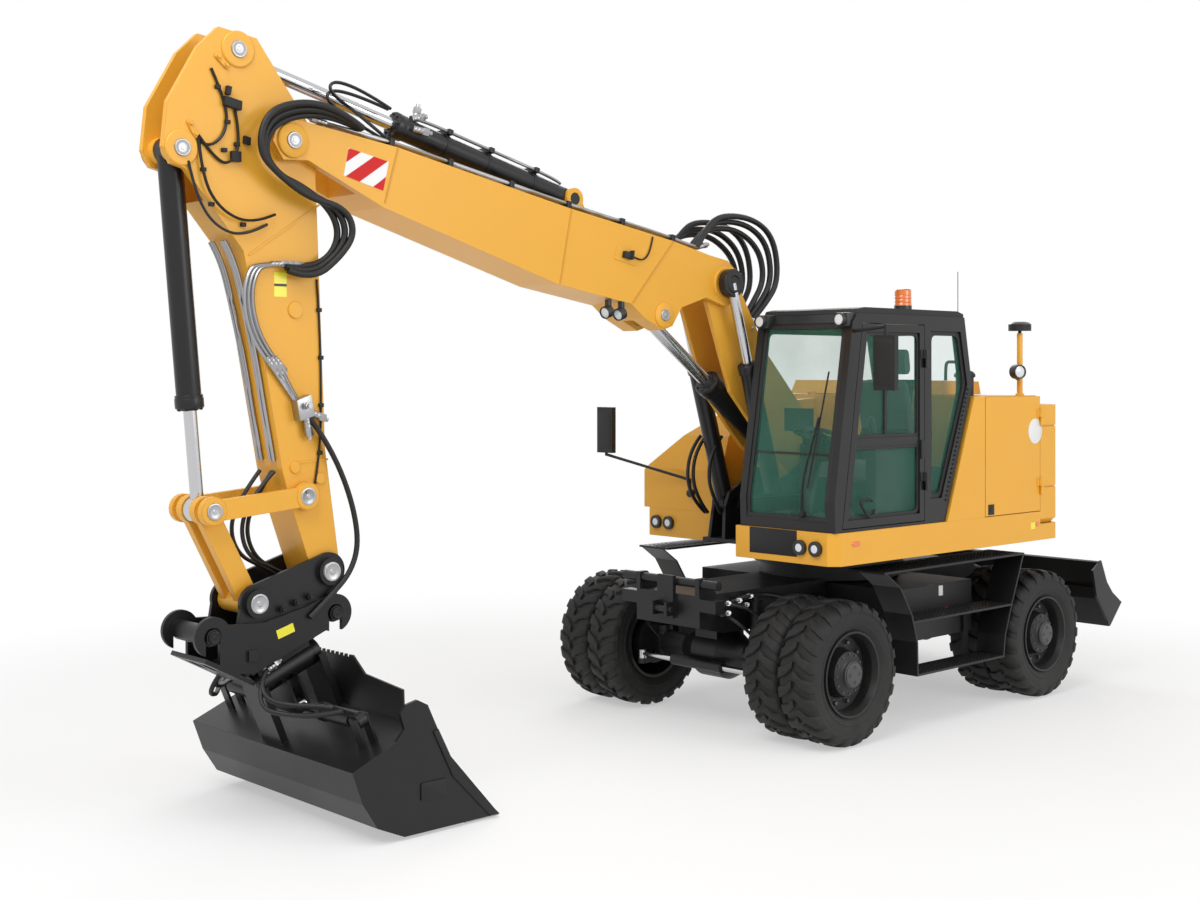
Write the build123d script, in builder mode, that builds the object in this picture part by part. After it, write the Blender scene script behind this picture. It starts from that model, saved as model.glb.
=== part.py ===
"""Wheeled excavator with a two-piece boom, a tilting grading bucket and a rear dozer blade.

Millimetres, +X ahead, +Y to the left, +Z up. The floor is Z = 0 and the origin is the
middle of the machine's floor rectangle, so every place is counted from the swing axis.
"""

import math
import os

from build123d import *

os.makedirs("parts", exist_ok=True)

# Places along the machine
SWING_X = -1742.5
FRONT_AXLE_X = SWING_X + 1300
REAR_AXLE_X = SWING_X - 1200

# Wheels: twin tyres on one rim
TYRE_RADIUS = 510.0
TYRE_WIDTH = 304.0
TYRE_GAP = 12.0
TYRE_SIDES = 32
TYRE_SHOULDER = 56.0
TYRE_CROWN = 34.0
TYRE_BULGE = 404.0
TYRE_SIDEWALL = 60.0
TYRE_ROOM = 458.0
BEAD_RADIUS = 292.0
BEAD_WIDTH = 232.0
RIM_FLANGE_RADIUS = 300.0
RIM_WELL_RADIUS = 268.0
TRACK_OUTER_Y = 1275.0
HUB_RADIUS = 176.0
HUB_CAP_RADIUS = 88.0
HUB_FACE_Y = 790.0
TWIN_WIDTH = 2 * TYRE_WIDTH + TYRE_GAP
WHEEL_INNER_Y = TRACK_OUTER_Y - TWIN_WIDTH
WHEEL_Z = TYRE_RADIUS
SEAT_GAP = 0.3
PIN_CLEAR = 0.06

# Axles
AXLE_TUBE_RADIUS = 95.0
AXLE_DIFF_RADIUS = 190.0
KINGPIN_Y = 585.0
KINGPIN_RADIUS = 34.0
KNUCKLE_HEIGHT = 250.0
STEER_ARM = 240.0
STEER_ROD_RADIUS = 22.0
STEER_BARREL_RADIUS = 42.0
STEER_X = FRONT_AXLE_X + STEER_ARM
STEER_Z = WHEEL_Z - 60

# Chassis
CHASSIS_HALF = 320.0
CHASSIS_LOW = 640.0
CHASSIS_TOP = 1010.0
CHASSIS_FRONT_X = FRONT_AXLE_X + 560
CHASSIS_REAR_X = REAR_AXLE_X - 280
CHASSIS_ARCH = 720.0
RING_RADIUS = 600.0
RING_LOW = 1100.0
RING_TOP = 1215.0
HITCH = (FRONT_AXLE_X + 525, 1095.0)
HITCH_HALF = 475.0
HITCH_RADIUS = 34.0
HITCH_NECK = 32.0
HITCH_FREE = 145.0

# Revolving deck
DECK_LOW = 1270.0
DECK_TOP = 1500.0
SKIRT_WALL = 25.0
SIDE_Y = 1250.0
CAB_INNER_Y = 365.0
CAB_FRONT_X = SWING_X + 1490
RIGHT_FRONT_X = SWING_X + 860
BOOM_WELL_Y = -380.0
GIRDER = 30.0
TAIL_RADIUS = 1850.0
SEAM_X = SWING_X - 1135
TAIL_LOW = 1398.0
TAIL_TOP = 2395.0
TAIL_WALL = 230.0
TAIL_LID = 30.0
TAIL_EDGE = 40.0
TAIL_LEAN = 40.0
TAIL_GROOVE = 10.0
TAIL_GROOVES = (1690.0, 2180.0)
PANEL_FRONT_X = SWING_X - 345
BODY_TOP = 2430.0
HOOD_HALF = 760.0
DOOR_GAP = 6.0
HOOD_WALL = 12.0
HOOD_PIN = (PANEL_FRONT_X - 70, BODY_TOP + 16)
HOOD_KNUCKLE = 14.0

# Door hinges: the pin stands off the door's face, with one tall knuckle on each side of the seam
HINGE_OFFSET = 16.0
HINGE_TALL = 65.0
HINGE_LEAF = 52.0
HINGE_GAP = 5.0
HINGE_KNUCKLE = 13.0
HINGE_PIN = 6.0
CAB_HINGES = (1750.0, 2650.0)
SERVICE_HINGES = (1640.0, 2190.0)

# Cab
CAB_ROOF_Z = 3075.0
CAB_WALL = 60.0
CAB_OUTER_Y = 1235.0
DOOR_REAR_X = SWING_X + 420
DOOR_FRONT_LOW_X = SWING_X + 1395
DOOR_FRONT_TOP_X = SWING_X + 1165
CAB_REAR_LOW_X = SWING_X + 165
CAB_REAR_WAIST_X = SWING_X - 190
CAB_REAR_TOP_X = SWING_X - 90
CAB_WAIST_Z = 2520.0
MIRROR_Y = 1500.0
MIRROR_HALF = 90.0
MIRROR_ARM = 12.0
MIRROR_LEFT = (SWING_X + 1252, 2680.0)
MIRROR_RIGHT = (SWING_X + 1060, 2135.0)

# Arm pins, as side view places (x, z)
BOOM_FOOT = (SWING_X + 420, 1860.0)
BOOM_JOINT = (SWING_X + 1460, 3270.0)
LIFT_BASE = (SWING_X + 950, 1600.0)
ADJUST_BASE = (SWING_X + 780, 2060.0)
ADJUST_EYE = (SWING_X + 2100, 3020.0)
STICK_PIVOT = (SWING_X + 5150, 3950.0)
STICK_CYL_BASE = (SWING_X + 2850, 3800.0)
STICK_CYL_EYE = (SWING_X + 5470, 4440.0)
BUCKET_CYL_BASE = (SWING_X + 5820, 3850.0)
ROCKER_PIVOT = (SWING_X + 5034, 1891.0)
ROCKER_END = (SWING_X + 5643, 1838.0)
TIP_PIN = (SWING_X + 4884, 1442.0)
LINK_PIN = (SWING_X + 5367, 1300.0)

# Arm widths, half widths across the machine
BOOM_HALF = 200.0
LOWER_HALF = 150.0
LOWER_PLATE = 36.0
STICK_HALF = 140.0
PIN_RADIUS = 42.0
SIDE_CLEAR = 6.0
LIFT_Y = 262.0
LIFT_EYE_WIDTH = 84.0
LIFT_PIN_HALF = 96.0
WALL = 14.0

# Cylinders
LIFT_BARREL_RADIUS = 68.0
LIFT_ROD_RADIUS = 38.0
ADJUST_BARREL_RADIUS = 88.0
ADJUST_ROD_RADIUS = 48.0
STICK_BARREL_RADIUS = 74.0
STICK_ROD_RADIUS = 42.0
BUCKET_BARREL_RADIUS = 70.0
BUCKET_ROD_RADIUS = 38.0
ROD_CLEAR = 0.4
EYE_RATIO = 1.75
EAR_CLEAR = 16.0
ADJUST_EYE_HALF = 48.0
STICK_CYL_EYE_HALF = 46.0
BUCKET_CYL_EYE_HALF = 44.0

# Lengths of the barrels, and the share of each that its rod fills at rest
LIFT_BARREL = 1120.0
LIFT_INSIDE = 0.53
ADJUST_BARREL = 820.0
ADJUST_INSIDE = 0.077
STICK_BARREL = 1500.0
STICK_INSIDE = 0.41
BUCKET_BARREL = 1440.0
BUCKET_INSIDE = 0.63
TILT_BARREL = 380.0
TILT_INSIDE = 0.5
BLADE_BARREL = 396.0
BLADE_INSIDE = 0.86

# Coupler and tilting bucket, on a plane that falls away to the front
TOOL_SLOPE = 22.5
TILT_POINT = (SWING_X + 5280, 792.0)
TILT_PIN_RADIUS = 40.0
TILT_X = -175.0
TILT_EYE = (105.0, -215.0)
TILT_LUG = (720.0, -200.0)
TILT_CYL_PIN = 24.0
BUCKET_HALF = 880.0
BUCKET_SIDE = 22.0
BUCKET_SHELL = 16.0
COUPLER_PLATE = 26.0

# Dozer blade
BLADE_PIVOT = (REAR_AXLE_X - 300, 500.0)
BLADE_HALF = 1245.0
BLADE_ARM_Y = 240.0
BLADE_EAR_IN = 50.0
BLADE_EAR_OUT = 78.0
BLADE_CYL_BASE = (REAR_AXLE_X - 370, 950.0)
BLADE_CYL_EYE = (REAR_AXLE_X - 800, 800.0)
BLADE_CYL_PIN = 28.0

# Steps between the wheels, as (reach behind the front axle, height) down both end plates
STEP_FRONT = ((376, 1185), (560, 1060), (700, 850), (768, 640), (775, 408))
STEP_REAR = ((2209, 1185), (2040, 800), (1945, 560), (1923, 408))
STEP_TREADS = ((376, 2209, 1185, 330), (720, 2040, 800, 245), (775, 1923, 408, 245))
STEP_THICK = 16.0
SIDE_BOX_OUT = 985.0
SIDE_BOX_LOW = 580.0
SIDE_BOX_TOP = 985.0
BOX_WALL = 8.0


def save(piece, name):
    """Names a finished piece and writes it as one STEP file."""
    piece.part.label = name
    export_step(piece.part, f"parts/{name}.step")


def plate(points, y_low, y_high, mode=Mode.ADD):
    """A flat plate with a side view outline of (x, z) points, between two y values."""
    with BuildSketch(Plane.XZ.offset(-y_high)) as outline:
        with BuildLine():
            Polyline(*points, close=True)
        make_face()
    extrude(outline.sketch, amount=y_high - y_low, mode=mode)


def cross_bar(place, radius, y_low, y_high, mode=Mode.ADD):
    """A round bar, boss or bore across the machine at a side view place (x, z)."""
    with Locations((place[0], (y_low + y_high) / 2, place[1])):
        Cylinder(radius, y_high - y_low, rotation=(90, 0, 0), mode=mode)


def bar(start, end, radius, mode=Mode.ADD):
    """A round bar between two points in space."""
    run = Vector(*end) - Vector(*start)
    with BuildSketch(Plane(origin=start, z_dir=run)) as circle:
        Circle(radius)
    extrude(circle.sketch, amount=run.length, mode=mode)


def block(x_low, x_high, y_low, y_high, z_low, z_high, mode=Mode.ADD):
    """A rectangular block between limits on each axis."""
    with Locations(((x_low + x_high) / 2, (y_low + y_high) / 2, (z_low + z_high) / 2)):
        Box(x_high - x_low, y_high - y_low, z_high - z_low, mode=mode)


def shrink(points, wall):
    """The same side view outline moved in by a wall on every edge."""
    with BuildSketch(Plane.XZ) as inner:
        with BuildLine():
            Polyline(*points, close=True)
        make_face()
        offset(amount=-wall, kind=Kind.INTERSECTION, mode=Mode.REPLACE)
    return inner.sketch


def cut_across(outline, y_low, y_high, mode=Mode.SUBTRACT):
    """Extrudes a ready side view sketch between two y values."""
    extrude(outline.moved(Location((0, y_high, 0))), amount=y_high - y_low, mode=mode)


def along(start, end, share=None, distance=None):
    """A side view place on the line from start to end."""
    run = math.dist(start, end)
    part = share if distance is None else distance / run
    return (start[0] + (end[0] - start[0]) * part, start[1] + (end[1] - start[1]) * part)


def barrel(base, eye, radius, rod_radius, length, y_middle, eye_width, pin_half, pin_radius):
    """A cylinder barrel from its base pin towards the rod's eye, bored for the rod."""
    mouth = along(base, eye, distance=length)
    first = along(base, eye, distance=EYE_RATIO * pin_radius)
    neck = along(base, eye, distance=length - radius)
    half = eye_width / 2
    with BuildPart() as made:
        bar((base[0], y_middle, base[1]), (mouth[0], y_middle, mouth[1]), radius)
        for low, high in ((y_middle + half, y_middle + 2 * radius), (y_middle - 2 * radius, y_middle - half)):
            cross_bar(base, radius + EAR_CLEAR, low, high, mode=Mode.SUBTRACT)
        cross_bar(base, EYE_RATIO * pin_radius, y_middle - half, y_middle + half)
        bar((neck[0], y_middle, neck[1]), (mouth[0], y_middle, mouth[1]), radius * 1.12)
        bar((first[0], y_middle, first[1]), (mouth[0], y_middle, mouth[1]), rod_radius + ROD_CLEAR,
            mode=Mode.SUBTRACT)
        cross_bar(base, pin_radius, y_middle - pin_half, y_middle + pin_half)
    return made


def rod(base, eye, rod_radius, barrel_length, inside, y_middle, eye_width, pin_radius):
    """A cylinder rod with its eye, with a share of the barrel's length inside the barrel."""
    tail = along(base, eye, distance=barrel_length * (1 - inside))
    with BuildPart() as made:
        bar((tail[0], y_middle, tail[1]), (eye[0], y_middle, eye[1]), rod_radius)
        cross_bar(eye, EYE_RATIO * pin_radius, y_middle - eye_width / 2, y_middle + eye_width / 2)
    return made


# Twin tyres: one carcass with few flat facets, because eight of them repeat

def ring_of_flats(stations, mode=Mode.ADD):
    """A many-sided solid about the Y axis, through (y, radius) stations."""
    sections = []
    for y, radius in stations:
        with BuildSketch(Plane.XZ.offset(-y)) as outline:
            RegularPolygon(radius, TYRE_SIDES)
        sections.append(outline.sketch)
    loft(sections=sections, ruled=True, mode=mode)


with BuildPart() as carcass:
    half = TYRE_WIDTH / 2
    bead = (BEAD_RADIUS + SEAT_GAP) / math.cos(math.pi / TYRE_SIDES)
    ring_of_flats([
        (-half, TYRE_RADIUS - TYRE_SHOULDER),
        (TYRE_CROWN - half, TYRE_RADIUS),
        (half - TYRE_CROWN, TYRE_RADIUS),
        (half, TYRE_RADIUS - TYRE_SHOULDER),
    ])
    for side in (-1, 1):
        ring_of_flats([(side * half, TYRE_BULGE), (side * BEAD_WIDTH / 2, bead)], mode=Mode.SUBTRACT)
    ring_of_flats([(-half, bead), (half, bead)], mode=Mode.SUBTRACT)
    ring_of_flats([(TYRE_SIDEWALL - half, TYRE_ROOM), (half - TYRE_SIDEWALL, TYRE_ROOM)], mode=Mode.SUBTRACT)


def twin_tyres(axle_x, side):
    """Both tyres of one wheel. Side is 1 on the left and -1 on the right."""
    with BuildPart() as pair:
        for start in (WHEEL_INNER_Y, WHEEL_INNER_Y + TYRE_WIDTH + TYRE_GAP):
            place = Location((axle_x, side * (start + TYRE_WIDTH / 2), WHEEL_Z))
            add(carcass.part.moved(place))
    return pair


def wheel(axle_x, side):
    """The rim of both tyres, its disc and the planetary hub, turned as one."""
    axle = Plane(origin=(axle_x, 0, WHEEL_Z), x_dir=(1, 0, 0), z_dir=(0, 0, 1))
    disc_y = TRACK_OUTER_Y - 150
    lip = 14.0
    section = [
        (RIM_WELL_RADIUS, WHEEL_INNER_Y + 20),
        (BEAD_RADIUS, WHEEL_INNER_Y + 20),
        (BEAD_RADIUS, TRACK_OUTER_Y - 30),
        (RIM_FLANGE_RADIUS, TRACK_OUTER_Y - 30),
        (RIM_FLANGE_RADIUS, TRACK_OUTER_Y - 30 + lip),
        (RIM_FLANGE_RADIUS - lip, TRACK_OUTER_Y - 30 + lip),
        (RIM_WELL_RADIUS, TRACK_OUTER_Y - 60),
        (RIM_WELL_RADIUS - 8, disc_y + 20),
        (HUB_RADIUS, disc_y + 8),
        (HUB_RADIUS - 20, TRACK_OUTER_Y - 60),
        (HUB_CAP_RADIUS + 20, TRACK_OUTER_Y - 44),
        (HUB_CAP_RADIUS, TRACK_OUTER_Y - 30),
        (HUB_CAP_RADIUS, TRACK_OUTER_Y - 6),
        (0, TRACK_OUTER_Y - 6),
        (0, HUB_FACE_Y + SEAT_GAP),
        (HUB_RADIUS, HUB_FACE_Y + SEAT_GAP),
        (HUB_RADIUS, disc_y - 24),
        (RIM_WELL_RADIUS, disc_y - 24),
    ]
    points = [(radius, side * y) for radius, y in section]
    with BuildPart() as made:
        with BuildSketch(axle) as outline:
            with BuildLine():
                Polyline(*points, close=True)
            make_face()
        revolve(outline.sketch, axis=Axis((axle_x, 0, WHEEL_Z), (0, 1, 0)))
    return made


for corner, axle_x, side in (
    ("front_left", FRONT_AXLE_X, 1),
    ("front_right", FRONT_AXLE_X, -1),
    ("rear_left", REAR_AXLE_X, 1),
    ("rear_right", REAR_AXLE_X, -1),
):
    save(twin_tyres(axle_x, side), f"tyres_{corner}")
    save(wheel(axle_x, side), f"wheel_{corner}")


# Axles

def axle_beam(axle_x, tube_end):
    """The differential and both tubes of an axle, revolved about its line."""
    line = Plane(origin=(axle_x, 0, WHEEL_Z), x_dir=(1, 0, 0), z_dir=(0, 0, 1))
    profile = [
        (0, -tube_end),
        (AXLE_TUBE_RADIUS, -tube_end),
        (AXLE_TUBE_RADIUS, -300),
        (AXLE_DIFF_RADIUS, -120),
        (AXLE_DIFF_RADIUS, 120),
        (AXLE_TUBE_RADIUS, 300),
        (AXLE_TUBE_RADIUS, tube_end),
        (0, tube_end),
    ]
    with BuildSketch(line) as half:
        with BuildLine():
            Polyline(*profile, close=True)
        make_face()
    revolve(half.sketch, axis=Axis((axle_x, 0, WHEEL_Z), (0, 1, 0)))


with BuildPart() as front_axle:
    axle_beam(FRONT_AXLE_X, KINGPIN_Y - 50)
    for side in (-1, 1):
        with Locations((FRONT_AXLE_X, side * KINGPIN_Y, WHEEL_Z)):
            Cylinder(70, KNUCKLE_HEIGHT - 60)
            Cylinder(KINGPIN_RADIUS + PIN_CLEAR, KNUCKLE_HEIGHT, mode=Mode.SUBTRACT)
    # The steering cylinder's body is bolted ahead of the housing
    bar((STEER_X, -250, STEER_Z), (STEER_X, 250, STEER_Z), STEER_BARREL_RADIUS)
    for side in (-1, 1):
        block(FRONT_AXLE_X + 60, STEER_X + 20, side * 170 - 20, side * 170 + 20, STEER_Z - 30, STEER_Z + 30)
    bar((STEER_X, -260, STEER_Z), (STEER_X, 260, STEER_Z), STEER_ROD_RADIUS + ROD_CLEAR, mode=Mode.SUBTRACT)
    # The pivot block that the axle swings on under the chassis
    block(FRONT_AXLE_X - 150, FRONT_AXLE_X + 150, -110, 110, WHEEL_Z + 120, CHASSIS_ARCH - SEAT_GAP)
save(front_axle, "front_axle")


def knuckle(side):
    """The steered carrier: two ears on the kingpin, the drum of the hub and the steering arm."""
    ear_low = (KNUCKLE_HEIGHT - 60) / 2 + SEAT_GAP
    ear_high = KNUCKLE_HEIGHT / 2 + 10
    with BuildPart() as made:
        for up in (-1, 1):
            with Locations((FRONT_AXLE_X, side * KINGPIN_Y, WHEEL_Z + up * (ear_low + ear_high) / 2)):
                Cylinder(64, ear_high - ear_low)
            with Locations((FRONT_AXLE_X, side * (KINGPIN_Y + 60), WHEEL_Z + up * (ear_low + ear_high) / 2)):
                Box(128, 120, ear_high - ear_low)
            with Locations((FRONT_AXLE_X, side * KINGPIN_Y, WHEEL_Z + up * (ear_high + 20) / 2)):
                Cylinder(KINGPIN_RADIUS, ear_high - 20)
        with BuildSketch(Plane.XZ.offset(-side * (KINGPIN_Y + 90))) as drum:
            with Locations((FRONT_AXLE_X, WHEEL_Z)):
                Circle(HUB_RADIUS)
        extrude(drum.sketch, amount=-side * (HUB_FACE_Y - KINGPIN_Y - 90))
        # The steering arm reaches ahead from the lower ear
        z_arm = WHEEL_Z - ear_low - (ear_high - ear_low) / 2
        with Locations((FRONT_AXLE_X + STEER_ARM / 2, side * KINGPIN_Y, z_arm)):
            Box(STEER_ARM, 60, ear_high - ear_low)
        with Locations((STEER_X, side * KINGPIN_Y, z_arm)):
            Cylinder(36, ear_high - ear_low)
    return made


save(knuckle(1), "knuckle_left")
save(knuckle(-1), "knuckle_right")

with BuildPart() as steering_rod:
    bar((STEER_X, -KINGPIN_Y, STEER_Z), (STEER_X, KINGPIN_Y, STEER_Z), STEER_ROD_RADIUS)
    for side in (-1, 1):
        arm_top = WHEEL_Z - (KNUCKLE_HEIGHT - 60) / 2 - SEAT_GAP
        with Locations((STEER_X, side * KINGPIN_Y, (arm_top + SEAT_GAP + STEER_Z + 30) / 2)):
            Cylinder(34, STEER_Z + 30 - arm_top - SEAT_GAP)
save(steering_rod, "steering_rod")

with BuildPart() as rear_axle:
    axle_beam(REAR_AXLE_X, WHEEL_INNER_Y - 30)
    for side in (-1, 1):
        with BuildSketch(Plane.XZ.offset(-side * (WHEEL_INNER_Y - 30))) as drum:
            with Locations((REAR_AXLE_X, WHEEL_Z)):
                Circle(HUB_RADIUS)
        extrude(drum.sketch, amount=-side * (HUB_FACE_Y - WHEEL_INNER_Y + 30))
        block(REAR_AXLE_X - 90, REAR_AXLE_X + 90, side * 270 - 40, side * 270 + 40,
              WHEEL_Z + 60, CHASSIS_ARCH - SEAT_GAP)
    # The travel gearbox and its motor ahead of the differential
    block(REAR_AXLE_X + 100, REAR_AXLE_X + 420, -150, 150, WHEEL_Z - 150, WHEEL_Z + 170)
    # The propeller shaft runs forward to the front differential
    front_end = (FRONT_AXLE_X - AXLE_DIFF_RADIUS - SEAT_GAP, 0, WHEEL_Z)
    rear_end = (REAR_AXLE_X + 420, 0, WHEEL_Z)
    bar(front_end, rear_end, 36)
    bar(front_end, (front_end[0] - 60, 0, WHEEL_Z), 70)
    bar((rear_end[0] + 40, 0, WHEEL_Z), rear_end, 70)
save(rear_axle, "rear_axle")


# Chassis: a welded box with the drum of the swing bearing on top

with BuildPart() as chassis:
    outline = [
        (CHASSIS_FRONT_X, CHASSIS_TOP),
        (CHASSIS_FRONT_X, CHASSIS_ARCH + 60),
        (FRONT_AXLE_X + 300, CHASSIS_ARCH),
        (FRONT_AXLE_X - 300, CHASSIS_ARCH),
        (FRONT_AXLE_X - 480, CHASSIS_LOW),
        (REAR_AXLE_X + 620, CHASSIS_LOW),
        (REAR_AXLE_X + 440, CHASSIS_ARCH),
        (CHASSIS_REAR_X, CHASSIS_ARCH),
        (CHASSIS_REAR_X, CHASSIS_TOP),
    ]
    plate(outline, -CHASSIS_HALF, CHASSIS_HALF)
    inside = [
        (CHASSIS_FRONT_X - WALL, CHASSIS_TOP - WALL),
        (CHASSIS_FRONT_X - WALL, CHASSIS_ARCH + 60 + WALL),
        (FRONT_AXLE_X + 300, CHASSIS_ARCH + WALL),
        (CHASSIS_REAR_X + WALL, CHASSIS_ARCH + WALL),
        (CHASSIS_REAR_X + WALL, CHASSIS_TOP - WALL),
    ]
    plate(inside, -CHASSIS_HALF + WALL, CHASSIS_HALF - WALL, mode=Mode.SUBTRACT)
    with BuildSketch(Plane.XY.offset(CHASSIS_TOP - WALL)) as drum:
        with Locations((SWING_X, 0)):
            Circle(RING_RADIUS - 40)
            Circle(RING_RADIUS - 140, mode=Mode.SUBTRACT)
    extrude(drum.sketch, amount=RING_LOW - CHASSIS_TOP + WALL)
    # The bearing's outer ring, bolted on the drum
    with BuildSketch(Plane.XY.offset(RING_LOW)) as ring:
        with Locations((SWING_X, 0)):
            Circle(RING_RADIUS)
            Circle(RING_RADIUS - 150, mode=Mode.SUBTRACT)
    extrude(ring.sketch, amount=RING_TOP - RING_LOW)
    # Hitch bar on two brackets across the nose
    for side in (-1, 1):
        plate([(HITCH[0] - 150, CHASSIS_TOP - 4), (HITCH[0] - 40, HITCH[1] + 40), (HITCH[0] + 40, HITCH[1] + 40),
               (HITCH[0] + 40, CHASSIS_TOP - 4)], side * 300 - 20, side * 300 + 20)
    hitch_inner = HITCH_HALF - HITCH_FREE
    bar((HITCH[0], -hitch_inner, HITCH[1]), (HITCH[0], hitch_inner, HITCH[1]), HITCH_NECK)
    for side in (-1, 1):
        bar((HITCH[0], side * hitch_inner, HITCH[1]), (HITCH[0], side * HITCH_HALF, HITCH[1]), HITCH_RADIUS)
    # Cross beam and centre plate under the bar, and the cylinders that lock the rocking axle
    block(CHASSIS_FRONT_X - 90, CHASSIS_FRONT_X, -HITCH_HALF, HITCH_HALF, CHASSIS_TOP - 110, CHASSIS_TOP - 20)
    block(CHASSIS_FRONT_X - 4, CHASSIS_FRONT_X + 26, -80, 80, CHASSIS_ARCH + 110, HITCH[1] + 44)
    cross_bar((CHASSIS_FRONT_X + 62, CHASSIS_ARCH + 180), 22, -110, 110)
    for side in (-1, 1):
        low, high = sorted((side * 58, side * 80))
        block(CHASSIS_FRONT_X + 20, CHASSIS_FRONT_X + 95, low, high, CHASSIS_ARCH + 130, CHASSIS_ARCH + 230)
        bar((FRONT_AXLE_X, side * (CHASSIS_HALF + 46), 700), (FRONT_AXLE_X, side * (CHASSIS_HALF + 46), 930), 48)
        bar((FRONT_AXLE_X, side * (CHASSIS_HALF + 46), 925), (FRONT_AXLE_X, side * (CHASSIS_HALF + 46), 960), 30)
    # Ears at the tail for the blade's arms and its cylinders
    for side in (-1, 1):
        for inner in (BLADE_ARM_Y - BLADE_EAR_OUT, BLADE_ARM_Y + BLADE_EAR_IN):
            low, high = sorted((side * inner, side * (inner + BLADE_EAR_OUT - BLADE_EAR_IN)))
            plate([
                (CHASSIS_REAR_X + 80, CHASSIS_TOP),
                (CHASSIS_REAR_X + 80, CHASSIS_ARCH),
                (BLADE_PIVOT[0] + 75, BLADE_PIVOT[1]),
                (BLADE_PIVOT[0] + 45, BLADE_PIVOT[1] - 62),
                (BLADE_PIVOT[0] - 45, BLADE_PIVOT[1] - 62),
                (BLADE_PIVOT[0] - 75, BLADE_PIVOT[1]),
                (BLADE_CYL_BASE[0] - 44, BLADE_CYL_BASE[1] - 40),
                (BLADE_CYL_BASE[0] - 40, BLADE_CYL_BASE[1] + 30),
                (BLADE_CYL_BASE[0] + 10, BLADE_CYL_BASE[1] + 52),
            ], low, high)
            cross_bar(BLADE_PIVOT, PIN_RADIUS + PIN_CLEAR, low, high, mode=Mode.SUBTRACT)
            cross_bar(BLADE_CYL_BASE, BLADE_CYL_PIN + PIN_CLEAR, low, high, mode=Mode.SUBTRACT)
save(chassis, "chassis")


# Steps and boxes between the wheels

def steps(side):
    """Three treads between two bent end plates, on uprights from the box behind them."""
    out = side * (SIDE_Y - 5)
    for reach_front, reach_rear, z, depth in STEP_TREADS:
        low, high = sorted((out, out - side * depth))
        block(FRONT_AXLE_X - reach_rear, FRONT_AXLE_X - reach_front, low, high, z - STEP_THICK, z)
    low, high = sorted((out - side * 245, out))
    for line, way in ((STEP_FRONT, -1), (STEP_REAR, 1)):
        outer = [(FRONT_AXLE_X - reach, z) for reach, z in line]
        inner = [(x + way * STEP_THICK, z) for x, z in reversed(outer)]
        plate(outer + inner, low, high)
    low, high = sorted((side * (SIDE_BOX_OUT + SEAT_GAP), out - side * 236))
    for reach in (1720, 1000):
        block(FRONT_AXLE_X - reach - 60, FRONT_AXLE_X - reach, low, high, 408 - STEP_THICK, 800)


def side_box(side):
    """The hollow box for tools or batteries between the axles, on the flank of the chassis."""
    for inset, mode in ((0, Mode.ADD), (BOX_WALL, Mode.SUBTRACT)):
        low, high = sorted((side * (CHASSIS_HALF + SEAT_GAP + inset), side * (SIDE_BOX_OUT - inset)))
        block(FRONT_AXLE_X - 1860 + inset, FRONT_AXLE_X - 860 - inset, low, high,
              SIDE_BOX_LOW + inset, SIDE_BOX_TOP - inset, mode=mode)


with BuildPart() as both_steps:
    for side in (-1, 1):
        steps(side)
save(both_steps, "steps")

with BuildPart() as side_boxes:
    for side in (-1, 1):
        side_box(side)
save(side_boxes, "side_boxes")


def hinge(pin_x, face_y, z_low, way, side):
    """One half of a door hinge. Way is -1 for the fixed half behind the pin, which holds the pin, and 1 for the door's."""
    pin_y = face_y + side * HINGE_OFFSET
    z_high = z_low + HINGE_TALL
    x_low, x_high = sorted((pin_x + way * HINGE_GAP, pin_x + way * HINGE_LEAF))
    y_low, y_high = sorted((face_y, face_y + side * HINGE_OFFSET / 2))
    block(x_low, x_high, y_low, y_high, z_low, z_high)
    x_low, x_high = sorted((pin_x, pin_x + way * HINGE_LEAF / 2))
    y_low, y_high = sorted((face_y + side * HINGE_OFFSET / 4, pin_y))
    block(x_low, x_high, y_low, y_high, z_low, z_high)
    with Locations((pin_x, pin_y, (z_low + z_high) / 2)):
        Cylinder(HINGE_KNUCKLE, HINGE_TALL)
        if way > 0:
            Cylinder(HINGE_PIN + PIN_CLEAR, HINGE_TALL, mode=Mode.SUBTRACT)
    if way < 0:
        with Locations((pin_x, pin_y, z_high)):
            Cylinder(HINGE_PIN, 2 * HINGE_TALL)


# Dozer blade on two arms behind the rear axle, lifted as parked

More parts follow.
